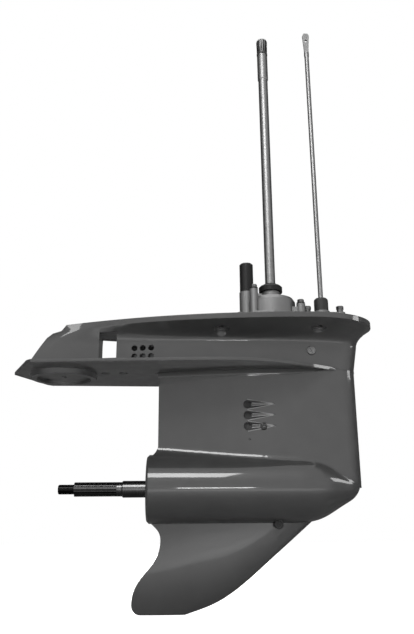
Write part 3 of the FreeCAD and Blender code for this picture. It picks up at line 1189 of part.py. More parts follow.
# Seal housing and water pump on the mating face
def pump_outline(low, high, holes=True):
    """The outline that the seal housing, gasket, plate and pump share."""
    side = [(-s.tube_x - s.tube_boss_r, -s.tube_boss_r + 2), (-s.post_x - s.post_r, -s.post_y - 4),
            (-s.post_x, -s.post_y - s.post_r), (0, -s.pump_r - 2),
            (s.ear_x, -s.ear_y - s.ear_r), (s.ear_x + s.ear_r - 2, -s.ear_y - 4),
            (s.ear_x + s.ear_r - 2, -s.ear_y + 6), (s.pump_r + 1, -10)]
    board = slab(side + [(x, -y) for x, y in reversed(side)], low, high)
    if holes:
        board = board.cut([rod(s.pump_bolt_r, (x, y, low - 1), (x, y, high + 1))
                           for x, y in pump_bolt_places()])
    return board


def seal_housing():
    """Flange on the mating face, barrel down in the bore, and the pump's water inlet."""
    top = s.prop_drop + s.seal_flange
    flange = pump_outline(s.prop_drop, top)
    barrel = rod(s.cup_seat_r, (0, 0, s.seal_barrel_low), (0, 0, top))
    seal_top = s.shaft_seal_low + 2 * s.shaft_seal_wide + s.seal_gap
    hollow = [rod(s.shaft_seal_r, (0, 0, s.seal_barrel_low - 1), (0, 0, seal_top)),
              rod(s.shaft_hole_r, (0, 0, seal_top - 1), (0, 0, top + 1)),
              rod(s.riser_r, (-s.riser_x, 0, s.prop_drop - 1), (-s.riser_x, 0, top - 2)),
              block((-s.riser_x, -s.riser_r + 1, top - 5), (-s.impeller_hub_r - 2, s.riser_r - 1,
                                                            top + 1))]
    groove_low = s.prop_drop - 13
    hollow.append(turned([(s.cup_seat_r - 2, groove_low), (s.cup_seat_r + 1, groove_low),
                          (s.cup_seat_r + 1, groove_low + s.o_ring),
                          (s.cup_seat_r - 2, groove_low + s.o_ring)]))
    return flange.fuse(barrel).cut(hollow)


def shim_sheet(low, high):
    """A flat sheet of the pump's outline, open at the shaft and the water inlet."""
    return pump_outline(low, high).cut([
        rod(s.shaft_hole_r, (0, 0, low - 1), (0, 0, high + 1)),
        rod(s.riser_r - 2, (-s.impeller_hub_r - 7, 0, low - 1),
            (-s.impeller_hub_r - 7, 0, high + 1))])


gasket_low = s.prop_drop + s.seal_flange
piece("seal_housing", seal_housing())
ring("seal_housing_o_ring", s.cup_seat_r - 2, s.cup_seat_r, s.prop_drop - 13,
     s.prop_drop - 13 + s.o_ring)
piece("driveshaft_seals", Part.makeCompound([
    turned([(s.drive_lower_r + s.run_gap, low), (s.shaft_seal_r, low),
            (s.shaft_seal_r, low + s.shaft_seal_wide),
            (s.drive_lower_r + s.run_gap, low + s.shaft_seal_wide)])
    for low in (s.shaft_seal_low, s.shaft_seal_low + s.shaft_seal_wide + s.seal_gap)]))
piece("pump_gasket", shim_sheet(gasket_low, gasket_low + s.pump_gasket))
piece("pump_plate", shim_sheet(gasket_low + s.pump_gasket, stack_low))
liner_top = stack_low + s.liner_high


def pump_liner():
    """The steel cup that the impeller sweeps, with its outlet window."""
    inner = s.liner_r - s.liner_wall
    cup = turned([(inner, stack_low), (s.liner_r, stack_low), (s.liner_r, liner_top),
                  (s.shaft_hole_r, liner_top), (s.shaft_hole_r, liner_top - s.liner_wall),
                  (inner, liner_top - s.liner_wall)])
    return cup.cut(outlet_window())


def outlet_window():
    """The passage from the impeller's chamber to the foot of the water tube."""
    return block((-s.tube_x, -5, stack_low + 9), (-s.impeller_hub_r - 11, 5, liner_top - 4))


def pump_housing():
    """The cast pump body: dome, shaft cap, tube boss, two posts and two ears."""
    dome = turned([(0, stack_low), (s.pump_r, stack_low), (s.pump_r, s.pump_wall_top),
                   (s.pump_r - 4, s.pump_shoulder), (s.pump_cap_r + 6, s.pump_dome_top),
                   (s.pump_cap_r, s.pump_dome_top + 2), (s.pump_cap_r, s.pump_cap_top),
                   (0, s.pump_cap_top)])
    boss = rod(s.tube_boss_r, (-s.tube_x, 0, stack_low), (-s.tube_x, 0, s.tube_boss_top))
    web = block((-s.tube_x, -7, stack_low), (0, 7, s.pump_dome_top + 8))
    uprights = []
    for x, y in pump_bolt_places():
        radius, top = (s.post_r, s.post_top) if x < 0 else (s.ear_r, s.ear_top)
        uprights.append(rod(radius, (x, y, stack_low), (x, y, top)))
    base = pump_outline(stack_low, stack_low + 8, False)
    body = dome.fuse([boss, web, base] + uprights)
    cuts = [rod(s.liner_r, (0, 0, stack_low - 1), (0, 0, liner_top)),
            rod(s.shaft_hole_r, (0, 0, liner_top - 1), (0, 0, s.drive_step + 6)),
            rod(s.drive_r + 1, (0, 0, s.drive_step), (0, 0, s.pump_cap_top + 1)),
            rod(s.pump_passage_r, (-s.tube_x, 0, liner_top - 12),
                (-s.tube_x, 0, s.tube_boss_top)),
            rod(s.tube_plug_r, (-s.tube_x, 0, s.tube_boss_top - s.tube_plug),
                (-s.tube_x, 0, s.tube_boss_top + 1)), outlet_window()]
    cuts += [rod(s.pump_bolt_r, (x, y, stack_low - 1), (x, y, s.post_top + 1))
             for x, y in pump_bolt_places()]
    return body.cut(cuts)


piece("pump_liner", pump_liner())
piece("pump_housing", pump_housing())
lathe("water_tube", [
    (s.tube_bore, s.tube_boss_top - s.tube_plug), (s.tube_plug_r, s.tube_boss_top - s.tube_plug),
    (s.tube_plug_r, s.tube_boss_top), (s.tube_r, s.tube_boss_top), (s.tube_r, s.tube_top - 2),
    (s.tube_r - 2, s.tube_top), (s.tube_bore, s.tube_top)], "Z", -s.tube_x)
bolts, washers = [], []
for x, y in pump_bolt_places():
    seat = s.post_top if x < 0 else s.ear_top
    disc = rod(s.pump_washer_r, (x, y, seat), (x, y, seat + s.pump_washer))
    washers.append(disc.cut(rod(s.pump_bolt_r, (x, y, seat), (x, y, seat + s.pump_washer))))
    bolts.append(hex_bolt(x, y, seat + s.pump_washer, s.prop_drop - s.bolt_thread,
                          s.pump_bolt_r, s.pump_head_r, s.pump_head))
piece("pump_bolts", Part.makeCompound(bolts))
piece("pump_bolt_washers", Part.makeCompound(washers))

# Write every piece
document.recompute()
faults = [item.Name for item in document.Objects
          if "Invalid" in item.State or "Error" in item.State]
faults += [item.Label for item in NODES if item.Shape.isNull() or not item.Shape.isValid()]
if faults:
    raise RuntimeError("these pieces failed: " + ", ".join(faults))
os.makedirs("parts", exist_ok=True)
for item in NODES:
    item.Shape.exportStep(f"parts/{item.Label}.step")
print(len(NODES), "pieces written")
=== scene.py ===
"""Outboard lower unit: the dressed model.

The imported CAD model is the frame. The row frame is in metres: X forward, Y to port, Z up,
with the origin on the top mating face in the middle of the four mounting bolts.
"""
import math

import bmesh
import bpy
from mathutils import Matrix, Vector
from mathutils.bvhtree import BVHTree


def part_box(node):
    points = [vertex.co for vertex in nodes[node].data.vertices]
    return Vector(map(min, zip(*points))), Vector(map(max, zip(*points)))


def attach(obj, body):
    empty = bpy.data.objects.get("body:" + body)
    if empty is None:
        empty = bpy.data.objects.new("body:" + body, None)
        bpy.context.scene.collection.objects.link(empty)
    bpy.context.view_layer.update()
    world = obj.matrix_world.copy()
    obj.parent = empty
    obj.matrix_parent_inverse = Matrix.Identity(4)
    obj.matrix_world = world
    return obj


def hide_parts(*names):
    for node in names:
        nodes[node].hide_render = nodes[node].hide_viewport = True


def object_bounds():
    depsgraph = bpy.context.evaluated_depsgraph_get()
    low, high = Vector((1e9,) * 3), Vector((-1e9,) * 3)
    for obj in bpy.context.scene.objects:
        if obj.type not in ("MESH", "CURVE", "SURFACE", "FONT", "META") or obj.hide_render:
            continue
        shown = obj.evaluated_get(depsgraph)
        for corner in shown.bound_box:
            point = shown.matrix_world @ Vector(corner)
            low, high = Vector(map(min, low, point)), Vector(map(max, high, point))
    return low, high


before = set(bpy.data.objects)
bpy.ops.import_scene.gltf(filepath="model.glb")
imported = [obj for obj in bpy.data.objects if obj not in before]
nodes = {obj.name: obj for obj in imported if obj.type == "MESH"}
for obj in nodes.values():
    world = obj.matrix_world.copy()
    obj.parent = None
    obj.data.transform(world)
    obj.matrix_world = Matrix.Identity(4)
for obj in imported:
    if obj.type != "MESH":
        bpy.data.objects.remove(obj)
cad_box = [list(corner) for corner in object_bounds()]
MM = 0.001


# Camera. The photograph looks up at the unit from low on its starboard side, with the
# propeller shaft to the left. The lens covers the tall frame's long side on 36 mm of sensor.
camera_place = Vector((-148.7, -1282.6, -375.5)) * MM
camera_turn = math.radians(-1.475)
camera_rise = math.radians(17.079)
camera_roll = math.radians(-0.426)
lens_pixels = 690.0
frame_pixels = 634
sensor_mm = 36
near_clip = 0.05

ahead = Vector((-math.sin(camera_turn) * math.cos(camera_rise),
                math.cos(camera_turn) * math.cos(camera_rise), math.sin(camera_rise)))
side = Vector((math.cos(camera_turn), math.sin(camera_turn), 0))
above = side.cross(ahead)
right = side * math.cos(camera_roll) + above * math.sin(camera_roll)
up = above * math.cos(camera_roll) - side * math.sin(camera_roll)
camera_data = bpy.data.cameras.new("camera")
camera_data.sensor_width = sensor_mm
camera_data.lens = lens_pixels / frame_pixels * camera_data.sensor_width
camera_data.clip_start = near_clip
camera = bpy.data.objects.new("camera", camera_data)
camera.matrix_world = Matrix.Translation(camera_place) @ Matrix(
    (right, up, -ahead)).transposed().to_4x4()
bpy.context.scene.collection.objects.link(camera)
bpy.context.scene.camera = camera


# Studio. A white floor just under the skeg and a white surround, with soft boxes above, in
# front and behind. Cards at the sides, behind and below only show in gloss and metal.
def sees_background(tree):
    """The value 1 for rays of the camera, and for those that gloss and glass send on."""
    path = tree.nodes.new("ShaderNodeLightPath")
    total = path.outputs["Is Camera Ray"]
    for name in ("Is Glossy Ray", "Is Transmission Ray"):
        both = tree.nodes.new("ShaderNodeMath")
        both.operation = "MAXIMUM"
        tree.links.new(total, both.inputs[0])
        tree.links.new(path.outputs[name], both.inputs[1])
        total = both.outputs["Value"]
    return total


floor_half = 6.0
floor_drop = 2 * MM
floor_grey = 0.8
floor_lift = 0.9

floor_level = cad_box[0][2] - floor_drop
floor_mesh = bpy.data.meshes.new("floor")
floor_mesh.from_pydata([(-floor_half, -floor_half, floor_level),
                        (floor_half, -floor_half, floor_level),
                        (floor_half, floor_half, floor_level),
                        (-floor_half, floor_half, floor_level)], [], [(0, 1, 2, 3)])
floor_white = bpy.data.materials.new("floor_white")
floor_white.use_nodes = True
tree = floor_white.node_tree
tree.nodes.clear()
diffuse = tree.nodes.new("ShaderNodeBsdfDiffuse")
diffuse.inputs["Color"].default_value = (floor_grey, floor_grey, floor_grey, 1)
glow = tree.nodes.new("ShaderNodeEmission")
lift = tree.nodes.new("ShaderNodeMath")
lift.operation = "MULTIPLY"
lift.inputs[1].default_value = floor_lift
tree.links.new(sees_background(tree), lift.inputs[0])
tree.links.new(lift.outputs["Value"], glow.inputs["Strength"])
both = tree.nodes.new("ShaderNodeAddShader")
output = tree.nodes.new("ShaderNodeOutputMaterial")
tree.links.new(diffuse.outputs["BSDF"], both.inputs[0])
tree.links.new(glow.outputs["Emission"], both.inputs[1])
tree.links.new(both.outputs["Shader"], output.inputs["Surface"])
floor_mesh.materials.append(floor_white)
floor = bpy.data.objects.new("floor", floor_mesh)
bpy.context.scene.collection.objects.link(floor)

surround_light = 0.26
world = bpy.data.worlds.new("surround")
world.use_nodes = True
tree = world.node_tree
tree.nodes.clear()
dim = tree.nodes.new("ShaderNodeBackground")
dim.inputs["Strength"].default_value = surround_light
seen = tree.nodes.new("ShaderNodeBackground")
seen.inputs["Color"].default_value = (1, 1, 1, 1)
mix = tree.nodes.new("ShaderNodeMixShader")
output = tree.nodes.new("ShaderNodeOutputWorld")
tree.links.new(sees_background(tree), mix.inputs["Fac"])
tree.links.new(dim.outputs["Background"], mix.inputs[1])
tree.links.new(seen.outputs["Background"], mix.inputs[2])
tree.links.new(mix.outputs["Shader"], output.inputs["Surface"])
bpy.context.scene.world = world

card_side = 1.5
card_back = 0.9
card_front = -1.1
card_top = 2.6
card_dark = 0.09
card_dark_from = 0.0
card_mesh = bpy.data.meshes.new("dark_cards")
card_floor = floor_level + MM
corners = [(x, y, z) for x in (-card_side, card_side) for y in (card_front, card_back)
           for z in (card_floor, card_top)]
card_mesh.from_pydata(corners, [], [(0, 2, 3, 1), (4, 5, 7, 6), (2, 6, 7, 3), (0, 4, 6, 2)])
card_shade = bpy.data.materials.new("card_shade")
card_shade.use_nodes = True
tree = card_shade.node_tree
tree.nodes.clear()
place = tree.nodes.new("ShaderNodeTexCoord")
split = tree.nodes.new("ShaderNodeSeparateXYZ")
fade = tree.nodes.new("ShaderNodeMapRange")
fade.interpolation_type = "SMOOTHSTEP"
fade.inputs["From Min"].default_value = card_front
fade.inputs["From Max"].default_value = card_dark_from
fade.inputs["To Min"].default_value = 1.0
fade.inputs["To Max"].default_value = card_dark
shade = tree.nodes.new("ShaderNodeEmission")
output = tree.nodes.new("ShaderNodeOutputMaterial")
tree.links.new(place.outputs["Object"], split.inputs["Vector"])
tree.links.new(split.outputs["Y"], fade.inputs["Value"])
tree.links.new(fade.outputs["Result"], shade.inputs["Strength"])
tree.links.new(shade.outputs["Emission"], output.inputs["Surface"])
card_mesh.materials.append(card_shade)
cards = bpy.data.objects.new("dark_cards", card_mesh)
cards.visible_camera = False
cards.visible_diffuse = False
cards.visible_shadow = False
bpy.context.scene.collection.objects.link(cards)


def soft_box(name, place, aim, width, height, brightness):
    """A rectangular soft box whose face has a given brightness, where 1 is white."""
    data = bpy.data.lights.new(name, "AREA")
    data.shape = "RECTANGLE"
    data.size, data.size_y = width, height
    data.energy = brightness * math.pi * width * height
    lamp = bpy.data.objects.new(name, data)
    lamp.location = place
    lamp.rotation_mode = "QUATERNION"
    lamp.rotation_quaternion = (Vector(aim) - Vector(place)).to_track_quat("-Z", "Y")
    bpy.context.scene.collection.objects.link(lamp)
    return lamp


# Each lamp's name, place, aim, width, height and brightness, and whether it shows in gloss.
lamps = (
    ("key_strip", (-0.66, -2.25, 1.85), (-0.1, 0, -0.2), 1.6, 0.8, 11, True),
    ("front_panel", (1.5, -2.4, 0.5), (0, 0, -0.2), 2.4, 2.2, 1.2, False),
    ("top_panel", (0, 0.3, 2.6), (0, 0, 0), 1.8, 1.2, 5, True),
    ("low_strip", (-0.05, -1.6, -0.32), (-0.1, 0, -0.3), 0.3, 0.07, 18, True),
    ("side_strip", (1.4, -0.25, 0.25), (0.1, 0, -0.1), 0.3, 0.25, 6, True),
    ("tail_strip", (-1.4, -0.8, 0.4), (-0.35, 0, -0.05), 0.12, 0.7, 6, True),
    ("back_panel", (-0.9, 2.5, 0.7), (0, 0, -0.1), 2.4, 2.2, 4, False),
)
for name, place, aim, width, height, brightness, in_gloss in lamps:
    soft_box(name, place, aim, width, height, brightness).visible_glossy = in_gloss
bpy.context.scene.view_settings.view_transform = "Standard"


# Gear housing. One aluminium casting, blasted, primed and painted gloss dark grey. Its cast
# corners are soft under the paint, and its machined faces stay crisp.
paint_dark = 0.038
paint_light = 0.050
paint_edge = 3.2 * MM
edge_samples = 6
skin_crease = math.radians(28)
merge_within = 0.01
patch_detail = 4
grain_detail = 2
noise_low = 0.3
noise_high = 0.7


def group_tree(name, inputs, outputs):
    """An empty shader group with named sockets."""
    tree = bpy.data.node_groups.new(name, "ShaderNodeTree")
    for label, kind, value in inputs:
        made = tree.interface.new_socket(label, in_out="INPUT", socket_type=kind)
        if value is not None:
            made.default_value = value
    for label, kind in outputs:
        tree.interface.new_socket(label, in_out="OUTPUT", socket_type=kind)
    return tree, tree.nodes.new("NodeGroupInput"), tree.nodes.new("NodeGroupOutput")


def surface_texture():
    """Mottling for a colour and a roughness, and a relief in millimetres, in object space."""
    tree, given, result = group_tree(
        "surface_texture",
        [("Dark", "NodeSocketColor", None), ("Light", "NodeSocketColor", None),
         ("Patch Scale", "NodeSocketFloat", 40.0), ("Grain Scale", "NodeSocketFloat", 900.0),
         ("Stretch", "NodeSocketVector", (1.0, 1.0, 1.0)),
         ("Rough Low", "NodeSocketFloat", 0.3), ("Rough High", "NodeSocketFloat", 0.5),
         ("Wave Height", "NodeSocketFloat", 0.1), ("Grain Height", "NodeSocketFloat", 0.03)],
        [("Color", "NodeSocketColor"), ("Roughness", "NodeSocketFloat"),
         ("Height", "NodeSocketFloat")])
    place = tree.nodes.new("ShaderNodeTexCoord")
    stretched = tree.nodes.new("ShaderNodeVectorMath")
    stretched.operation = "MULTIPLY"
    tree.links.new(place.outputs["Object"], stretched.inputs[0])
    tree.links.new(given.outputs["Stretch"], stretched.inputs[1])
    patch = tree.nodes.new("ShaderNodeTexNoise")
    grain = tree.nodes.new("ShaderNodeTexNoise")
    patch.inputs["Detail"].default_value = patch_detail
    grain.inputs["Detail"].default_value = grain_detail
    for noise, scale in ((patch, "Patch Scale"), (grain, "Grain Scale")):
        tree.links.new(stretched.outputs["Vector"], noise.inputs["Vector"])
        tree.links.new(given.outputs[scale], noise.inputs["Scale"])
    colour = tree.nodes.new("ShaderNodeMix")
    colour.data_type = "RGBA"
    tree.links.new(patch.outputs["Fac"], colour.inputs["Factor"])
    tree.links.new(given.outputs["Dark"], colour.inputs["A"])
    tree.links.new(given.outputs["Light"], colour.inputs["B"])
    rough = tree.nodes.new("ShaderNodeMapRange")
    tree.links.new(patch.outputs["Fac"], rough.inputs["Value"])
    rough.inputs["From Min"].default_value = noise_low
    rough.inputs["From Max"].default_value = noise_high
    tree.links.new(given.outputs["Rough Low"], rough.inputs["To Min"])
    tree.links.new(given.outputs["Rough High"], rough.inputs["To Max"])
    heights = []
    for noise, height in ((patch, "Wave Height"), (grain, "Grain Height")):
        scaled = tree.nodes.new("ShaderNodeMath")
        scaled.operation = "MULTIPLY"
        tree.links.new(noise.outputs["Fac"], scaled.inputs[0])
        tree.links.new(given.outputs[height], scaled.inputs[1])
        heights.append(scaled.outputs["Value"])
    relief = tree.nodes.new("ShaderNodeMath")
    tree.links.new(heights[0], relief.inputs[0])
    tree.links.new(heights[1], relief.inputs[1])
    tree.links.new(colour.outputs["Result"], result.inputs["Color"])
    tree.links.new(rough.outputs["Result"], result.inputs["Roughness"])
    tree.links.new(relief.outputs["Value"], result.inputs["Height"])
    return tree


TEXTURE = surface_texture()


def finish(name, dark, light, rough, metallic=0.0, patch=40.0, grain=900.0, wave_mm=0.0,
           grain_mm=0.0, edge=0.0, stretch=(1, 1, 1), **constants):
    """A Principled finish with mottled colour and roughness, relief and softened edges."""
    material = bpy.data.materials.new(name)
    material.use_nodes = True
    tree = material.node_tree
    shader = tree.nodes["Principled BSDF"]
    texture = tree.nodes.new("ShaderNodeGroup")
    texture.name = "texture"
    texture.node_tree = TEXTURE
    texture.inputs["Dark"].default_value = (dark, dark, dark, 1)
    texture.inputs["Light"].default_value = (light, light, light, 1)
    texture.inputs["Patch Scale"].default_value = patch
    texture.inputs["Grain Scale"].default_value = grain
    texture.inputs["Stretch"].default_value = stretch
    texture.inputs["Rough Low"].default_value, texture.inputs["Rough High"].default_value = rough
    texture.inputs["Wave Height"].default_value = wave_mm
    texture.inputs["Grain Height"].default_value = grain_mm
    tree.links.new(texture.outputs["Color"], shader.inputs["Base Color"])
    tree.links.new(texture.outputs["Roughness"], shader.inputs["Roughness"])
    shader.inputs["Metallic"].default_value = metallic
    for label, value in constants.items():
        shader.inputs[label.replace("_", " ")].default_value = value
    normal = None
    if edge:
        rounded = tree.nodes.new("ShaderNodeBevel")
        rounded.samples = edge_samples
        rounded.inputs["Radius"].default_value = edge
        normal = rounded.outputs["Normal"]
    if wave_mm or grain_mm:
        relief = tree.nodes.new("ShaderNodeBump")
        relief.inputs["Strength"].default_value = 1.0
        relief.inputs["Distance"].default_value = MM
        tree.links.new(texture.outputs["Height"], relief.inputs["Height"])
        if normal:
            tree.links.new(normal, relief.inputs["Normal"])
        normal = relief.outputs["Normal"]
    if normal:
        tree.links.new(normal, shader.inputs["Normal"])
    return material


paint = finish("gloss_paint", dark=paint_dark, light=paint_light, rough=(0.30, 0.40), patch=30,
               grain=600, wave_mm=0.18, grain_mm=0.012, edge=paint_edge,
               Specular_IOR_Level=0.2, Coat_Weight=1.0, Coat_Roughness=0.05, Coat_IOR=1.5)


def crease_edges(work, crease):
    """Smooth faces, with a crease where two of them meet at more than an angle."""
    for face in work.faces:
        face.smooth = True
    for edge in work.edges:
        edge.smooth = len(edge.link_faces) == 2 and edge.calc_face_angle(0) < crease


def new_piece(name, mesh, material, body, slot_name, *replaced):
    """Put a finished mesh in the scene as a piece that rides on a body."""
    mesh.name = name
    mesh.materials.clear()
    mesh.materials.append(material)
    made = bpy.data.objects.new(name, mesh)
    bpy.context.scene.collection.objects.link(made)
    if replaced:
        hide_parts(*replaced)
    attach(made, body)
    return made


skin_mesh = nodes["gear_housing"].data.copy()
work = bmesh.new()
work.from_mesh(skin_mesh)
bmesh.ops.remove_doubles(work, verts=work.verts, dist=merge_within * MM)
crease_edges(work, skin_crease)
work.to_mesh(skin_mesh)
housing_tree = BVHTree.FromBMesh(work)
new_piece("housing_skin", skin_mesh, paint, "housing", "housing_paint", "gear_housing")


# Cast blends of the housing. The pattern leaves a small radius where the strut meets the
# plate above it; here it is a strip of the same casting laid in that corner.
blend_level = -95.5
blend_radius = 9.0
blend_steps = 8
blend_fade_from = 40.0
blend_fade_to = 112.0
blend_least = 0.02
blend_buried = 0.2
level_within = 0.05
wall_below = 0.01
ceiling_normal = -0.9
wall_normal = 0.4
shortest_chain = 8


def corner_edges(work, level):
    """Edges where a wall comes up to a flat underside at a level, with the wall's normal."""
    found = {}
    for edge in work.edges:
        if len(edge.link_faces) != 2:
            continue
        if max(abs(vert.co.z / MM - level) for vert in edge.verts) > level_within:
            continue
        flat = [face for face in edge.link_faces if face.normal.z < ceiling_normal]
        wall = [face for face in edge.link_faces if abs(face.normal.z) < wall_normal]
        if len(flat) == 1 and len(wall) == 1:
            if wall[0].calc_center_median().z / MM < level - wall_below:
                found[edge] = wall[0].normal.copy()
    return found


def edge_chains(edges):
    """Split edges into chains of (vertex place, mean wall normal), walked end to end."""
    at = {}
    for edge, normal in edges.items():
        for vert in edge.verts:
            at.setdefault(vert, []).append(edge)
    left, chains = set(edges), []
    while left:
        ends = [vert for vert in at if len([e for e in at[vert] if e in left]) == 1]
        vert = ends[0] if ends else next(iter(left)).verts[0]
        chain = [vert]
        while True:
            following = [e for e in at[vert] if e in left]
            if not following:
                break
            left.discard(following[0])
            vert = following[0].other_vert(vert)
            chain.append(vert)
        chains.append([(v.co.copy(), sum((edges[e] for e in at[v]), Vector()).normalized())
                       for v in chain])
    return chains


def blend_mesh(chain, radius_at):
    """A closed strip with a hollow face, laid along a corner between a wall and a ceiling."""
    strip = bmesh.new()
    down = Vector((0, 0, -1))
    rows = []
    for place, normal in chain:
        out = Vector((normal.x, normal.y, 0)).normalized()
        radius = radius_at(place) * MM
        row = []
        for step in range(blend_steps + 1):
            angle = math.pi / 2 * step / blend_steps
            turned = out * math.cos(angle) + down * math.sin(angle)
            row.append(strip.verts.new(place + (out + down) * radius - turned * radius))
        row.append(strip.verts.new(place - (out + down) * blend_buried * MM))
        rows.append(row)
    for one, two in zip(rows, rows[1:]):
        for step in range(len(one)):
            after = (step + 1) % len(one)
            strip.faces.new((one[step], one[after], two[after], two[step]))
    strip.faces.new(rows[0])
    strip.faces.new(list(reversed(rows[-1])))
    bmesh.ops.recalc_face_normals(strip, faces=strip.faces)
    crease_edges(strip, skin_crease)
    mesh = bpy.data.meshes.new("blend")
    strip.to_mesh(mesh)
    strip.free()
    return mesh


def strut_blend(place):
    """The blend's radius, which runs out towards the nose."""
    share = (blend_fade_to - place.x / MM) / (blend_fade_to - blend_fade_from)
    return blend_radius * min(1.0, max(blend_least, share))


chains = [chain for chain in edge_chains(corner_edges(work, blend_level))
          if len(chain) > shortest_chain]
strut_chains = [chain for chain in chains
                if max(place.x for place, normal in chain) > 0]
for number, chain in enumerate(strut_chains):
    new_piece("plate_blend_%d" % number, blend_mesh(chain, strut_blend), paint, "housing",
              "housing_paint")
work.free()


# Exhaust chamber web. A thin cast wall stands in the keel plane on the floor of the exhaust
# chamber, behind the relief holes; it is cast with the housing and painted with it.
web_centre = (-245, 0, -60)
web_half = (30, 2, 20)


def box_mesh(centre, first, second, third, turn=0.0):
    """A block about a centre, from three half edges; turn spins it about the third."""
    first, second, third = Vector(first), Vector(second), Vector(third)
    spin = Matrix.Rotation(turn, 3, third)
    first, second = spin @ first, spin @ second
    points = [(Vector(centre) + first * a + second * b + third * c) * MM
              for a in (-1, 1) for b in (-1, 1) for c in (-1, 1)]
    mesh = bpy.data.meshes.new("block")
    mesh.from_pydata(points, [], [(0, 1, 3, 2), (4, 6, 7, 5), (0, 4, 5, 1), (2, 3, 7, 6),
                                  (0, 2, 6, 4), (1, 5, 7, 3)])
    shape = bmesh.new()
    shape.from_mesh(mesh)
    bmesh.ops.recalc_face_normals(shape, faces=shape.faces)
    shape.to_mesh(mesh)
    shape.free()
    return mesh


web_mesh = box_mesh(web_centre, *[[half if axis == place else 0 for axis in range(3)]
                                  for place, half in enumerate(web_half)])
new_piece("chamber_web", web_mesh, paint, "housing", "housing_paint")


# Intake grilles. Thin bars cast in and around each teardrop scoop keep weed out of the water
# holes, on both sides of the strut.
scoop_hole_x = -44.0
scoop_levels = (-158.65, -178.4, -198.15)
bar_start = 8.5
bar_radius = 0.7
bar_proud = 0.5
bar_sides = 10
outside_y = -200
# Each bar's height over the hole's middle at its start and at its tip, and its reach.
bar_rows = ((9.3, 1.6, 44.0), (2.4, 1.2, 46.0), (-2.2, 0.2, 47.5), (-9.3, -0.8, 46.0))
# The bars are coloured much lighter than the housing paint: a painted highlight for the thin
# bright lines along their rounded tops.
bar_highlight_paint = finish("bar_highlight_paint", dark=0.16, light=0.30, rough=(0.3, 0.5), patch=400,
                      grain=1500, grain_mm=0.01)


def bar_tree():
    """Geometry nodes: every edge of the input becomes a round bar of one material."""
    tree = bpy.data.node_groups.new("round_bars", "GeometryNodeTree")
    tree.interface.new_socket("Geometry", in_out="INPUT", socket_type="NodeSocketGeometry")
    tree.interface.new_socket("Bar Radius", in_out="INPUT", socket_type="NodeSocketFloat")
    tree.interface.new_socket("Finish", in_out="INPUT", socket_type="NodeSocketMaterial")
    tree.interface.new_socket("Geometry", in_out="OUTPUT", socket_type="NodeSocketGeometry")
    given, result = tree.nodes.new("NodeGroupInput"), tree.nodes.new("NodeGroupOutput")
    line = tree.nodes.new("GeometryNodeMeshToCurve")
    around = tree.nodes.new("GeometryNodeCurvePrimitiveCircle")
    around.inputs["Resolution"].default_value = bar_sides
    sweep = tree.nodes.new("GeometryNodeCurveToMesh")
    sweep.inputs["Fill Caps"].default_value = True
    real = tree.nodes.new("GeometryNodeRealizeInstances")
    painted = tree.nodes.new("GeometryNodeSetMaterial")
    tree.links.new(given.outputs["Geometry"], line.inputs["Mesh"])
    tree.links.new(given.outputs["Bar Radius"], around.inputs["Radius"])
    tree.links.new(line.outputs["Curve"], sweep.inputs["Curve"])
    tree.links.new(around.outputs["Curve"], sweep.inputs["Profile Curve"])
    tree.links.new(sweep.outputs["Mesh"], real.inputs["Geometry"])
    tree.links.new(real.outputs["Geometry"], painted.inputs["Geometry"])
    tree.links.new(given.outputs["Finish"], painted.inputs["Material"])
    tree.links.new(painted.outputs["Geometry"], result.inputs["Geometry"])
    return tree


def grown(name, points, edges, tree, values):
    """The mesh that a geometry tree makes of some points and edges, in millimetres."""
    seed = bpy.data.meshes.new(name + "_seed")
    seed.from_pydata([Vector(point) * MM for point in points], edges, [])
    holder = bpy.data.objects.new(name + "_seed", seed)
    bpy.context.scene.collection.objects.link(holder)
    modifier = holder.modifiers.new(name, "NODES")
    modifier.node_group = tree
    for item in tree.interface.items_tree:
        if item.in_out == "INPUT" and item.name in values:
            modifier[item.identifier] = values[item.name]
    depsgraph = bpy.context.evaluated_depsgraph_get()
    mesh = bpy.data.meshes.new_from_object(holder.evaluated_get(depsgraph))
    holder.modifiers.remove(modifier)
    bpy.data.objects.remove(holder)
    return mesh


def side_of_strut(x, z):
    """How far out the strut's side is at a place, in millimetres, by a ray from outside."""
    hit = housing_tree.ray_cast(Vector((x, outside_y, z)) * MM, Vector((0, 1, 0)))
    return -hit[0].y / MM


round_bars = bar_tree()
between = (scoop_levels[0] - scoop_levels[1]) / 2
bar_points, bar_edges = [], []
for hand in (-1, 1):
    for level in scoop_levels:
        for rise, tip_rise, reach in bar_rows:
            begins = 0.0 if abs(rise) > bar_start else bar_start
            first = (scoop_hole_x + begins, level + rise)
            last = (scoop_hole_x + reach, level + tip_rise)
            for x, z in (first, last):
                around = (side_of_strut(x, level - between)
                          + side_of_strut(x, level + between)) / 2
                bar_points.append((x, hand * (around + bar_proud - bar_radius), z))
            bar_edges.append((len(bar_points) - 2, len(bar_points) - 1))
bar_mesh = grown("intake_bars", bar_points, bar_edges, round_bars,
                 {"Bar Radius": bar_radius * MM, "Finish": bar_highlight_paint})
new_piece("intake_bars", bar_mesh, bar_highlight_paint, "housing", "housing_paint")


# Water screens and their screws. Moulded strainers stand behind the intake holes, each held
# by a pan-head screw with a cross recess in the lowest scoop.
turned_steps = 48
soft_crease = math.radians(35)
cut_merge_within = 0.002
black_plastic = finish("black_plastic", dark=0.008, light=0.014, rough=(0.36, 0.46), patch=120,
                       grain=1500, grain_mm=0.02, edge=0.5 * MM, Specular_IOR_Level=0.2)
screw_steel = finish("screw_steel", dark=0.012, light=0.03, rough=(0.4, 0.55), metallic=0.2,
                     patch=200, grain=2500, grain_mm=0.01, edge=0.3 * MM)
screen_plastic = finish("screen_plastic", dark=0.05, light=0.07, rough=(0.5, 0.6), patch=200,
                        grain=1500, grain_mm=0.02)


def give_finish(material, *names):
    """Carried-over CAD nodes get a finish."""
    for name in names:
        nodes[name].data.materials.clear()
        nodes[name].data.materials.append(material)


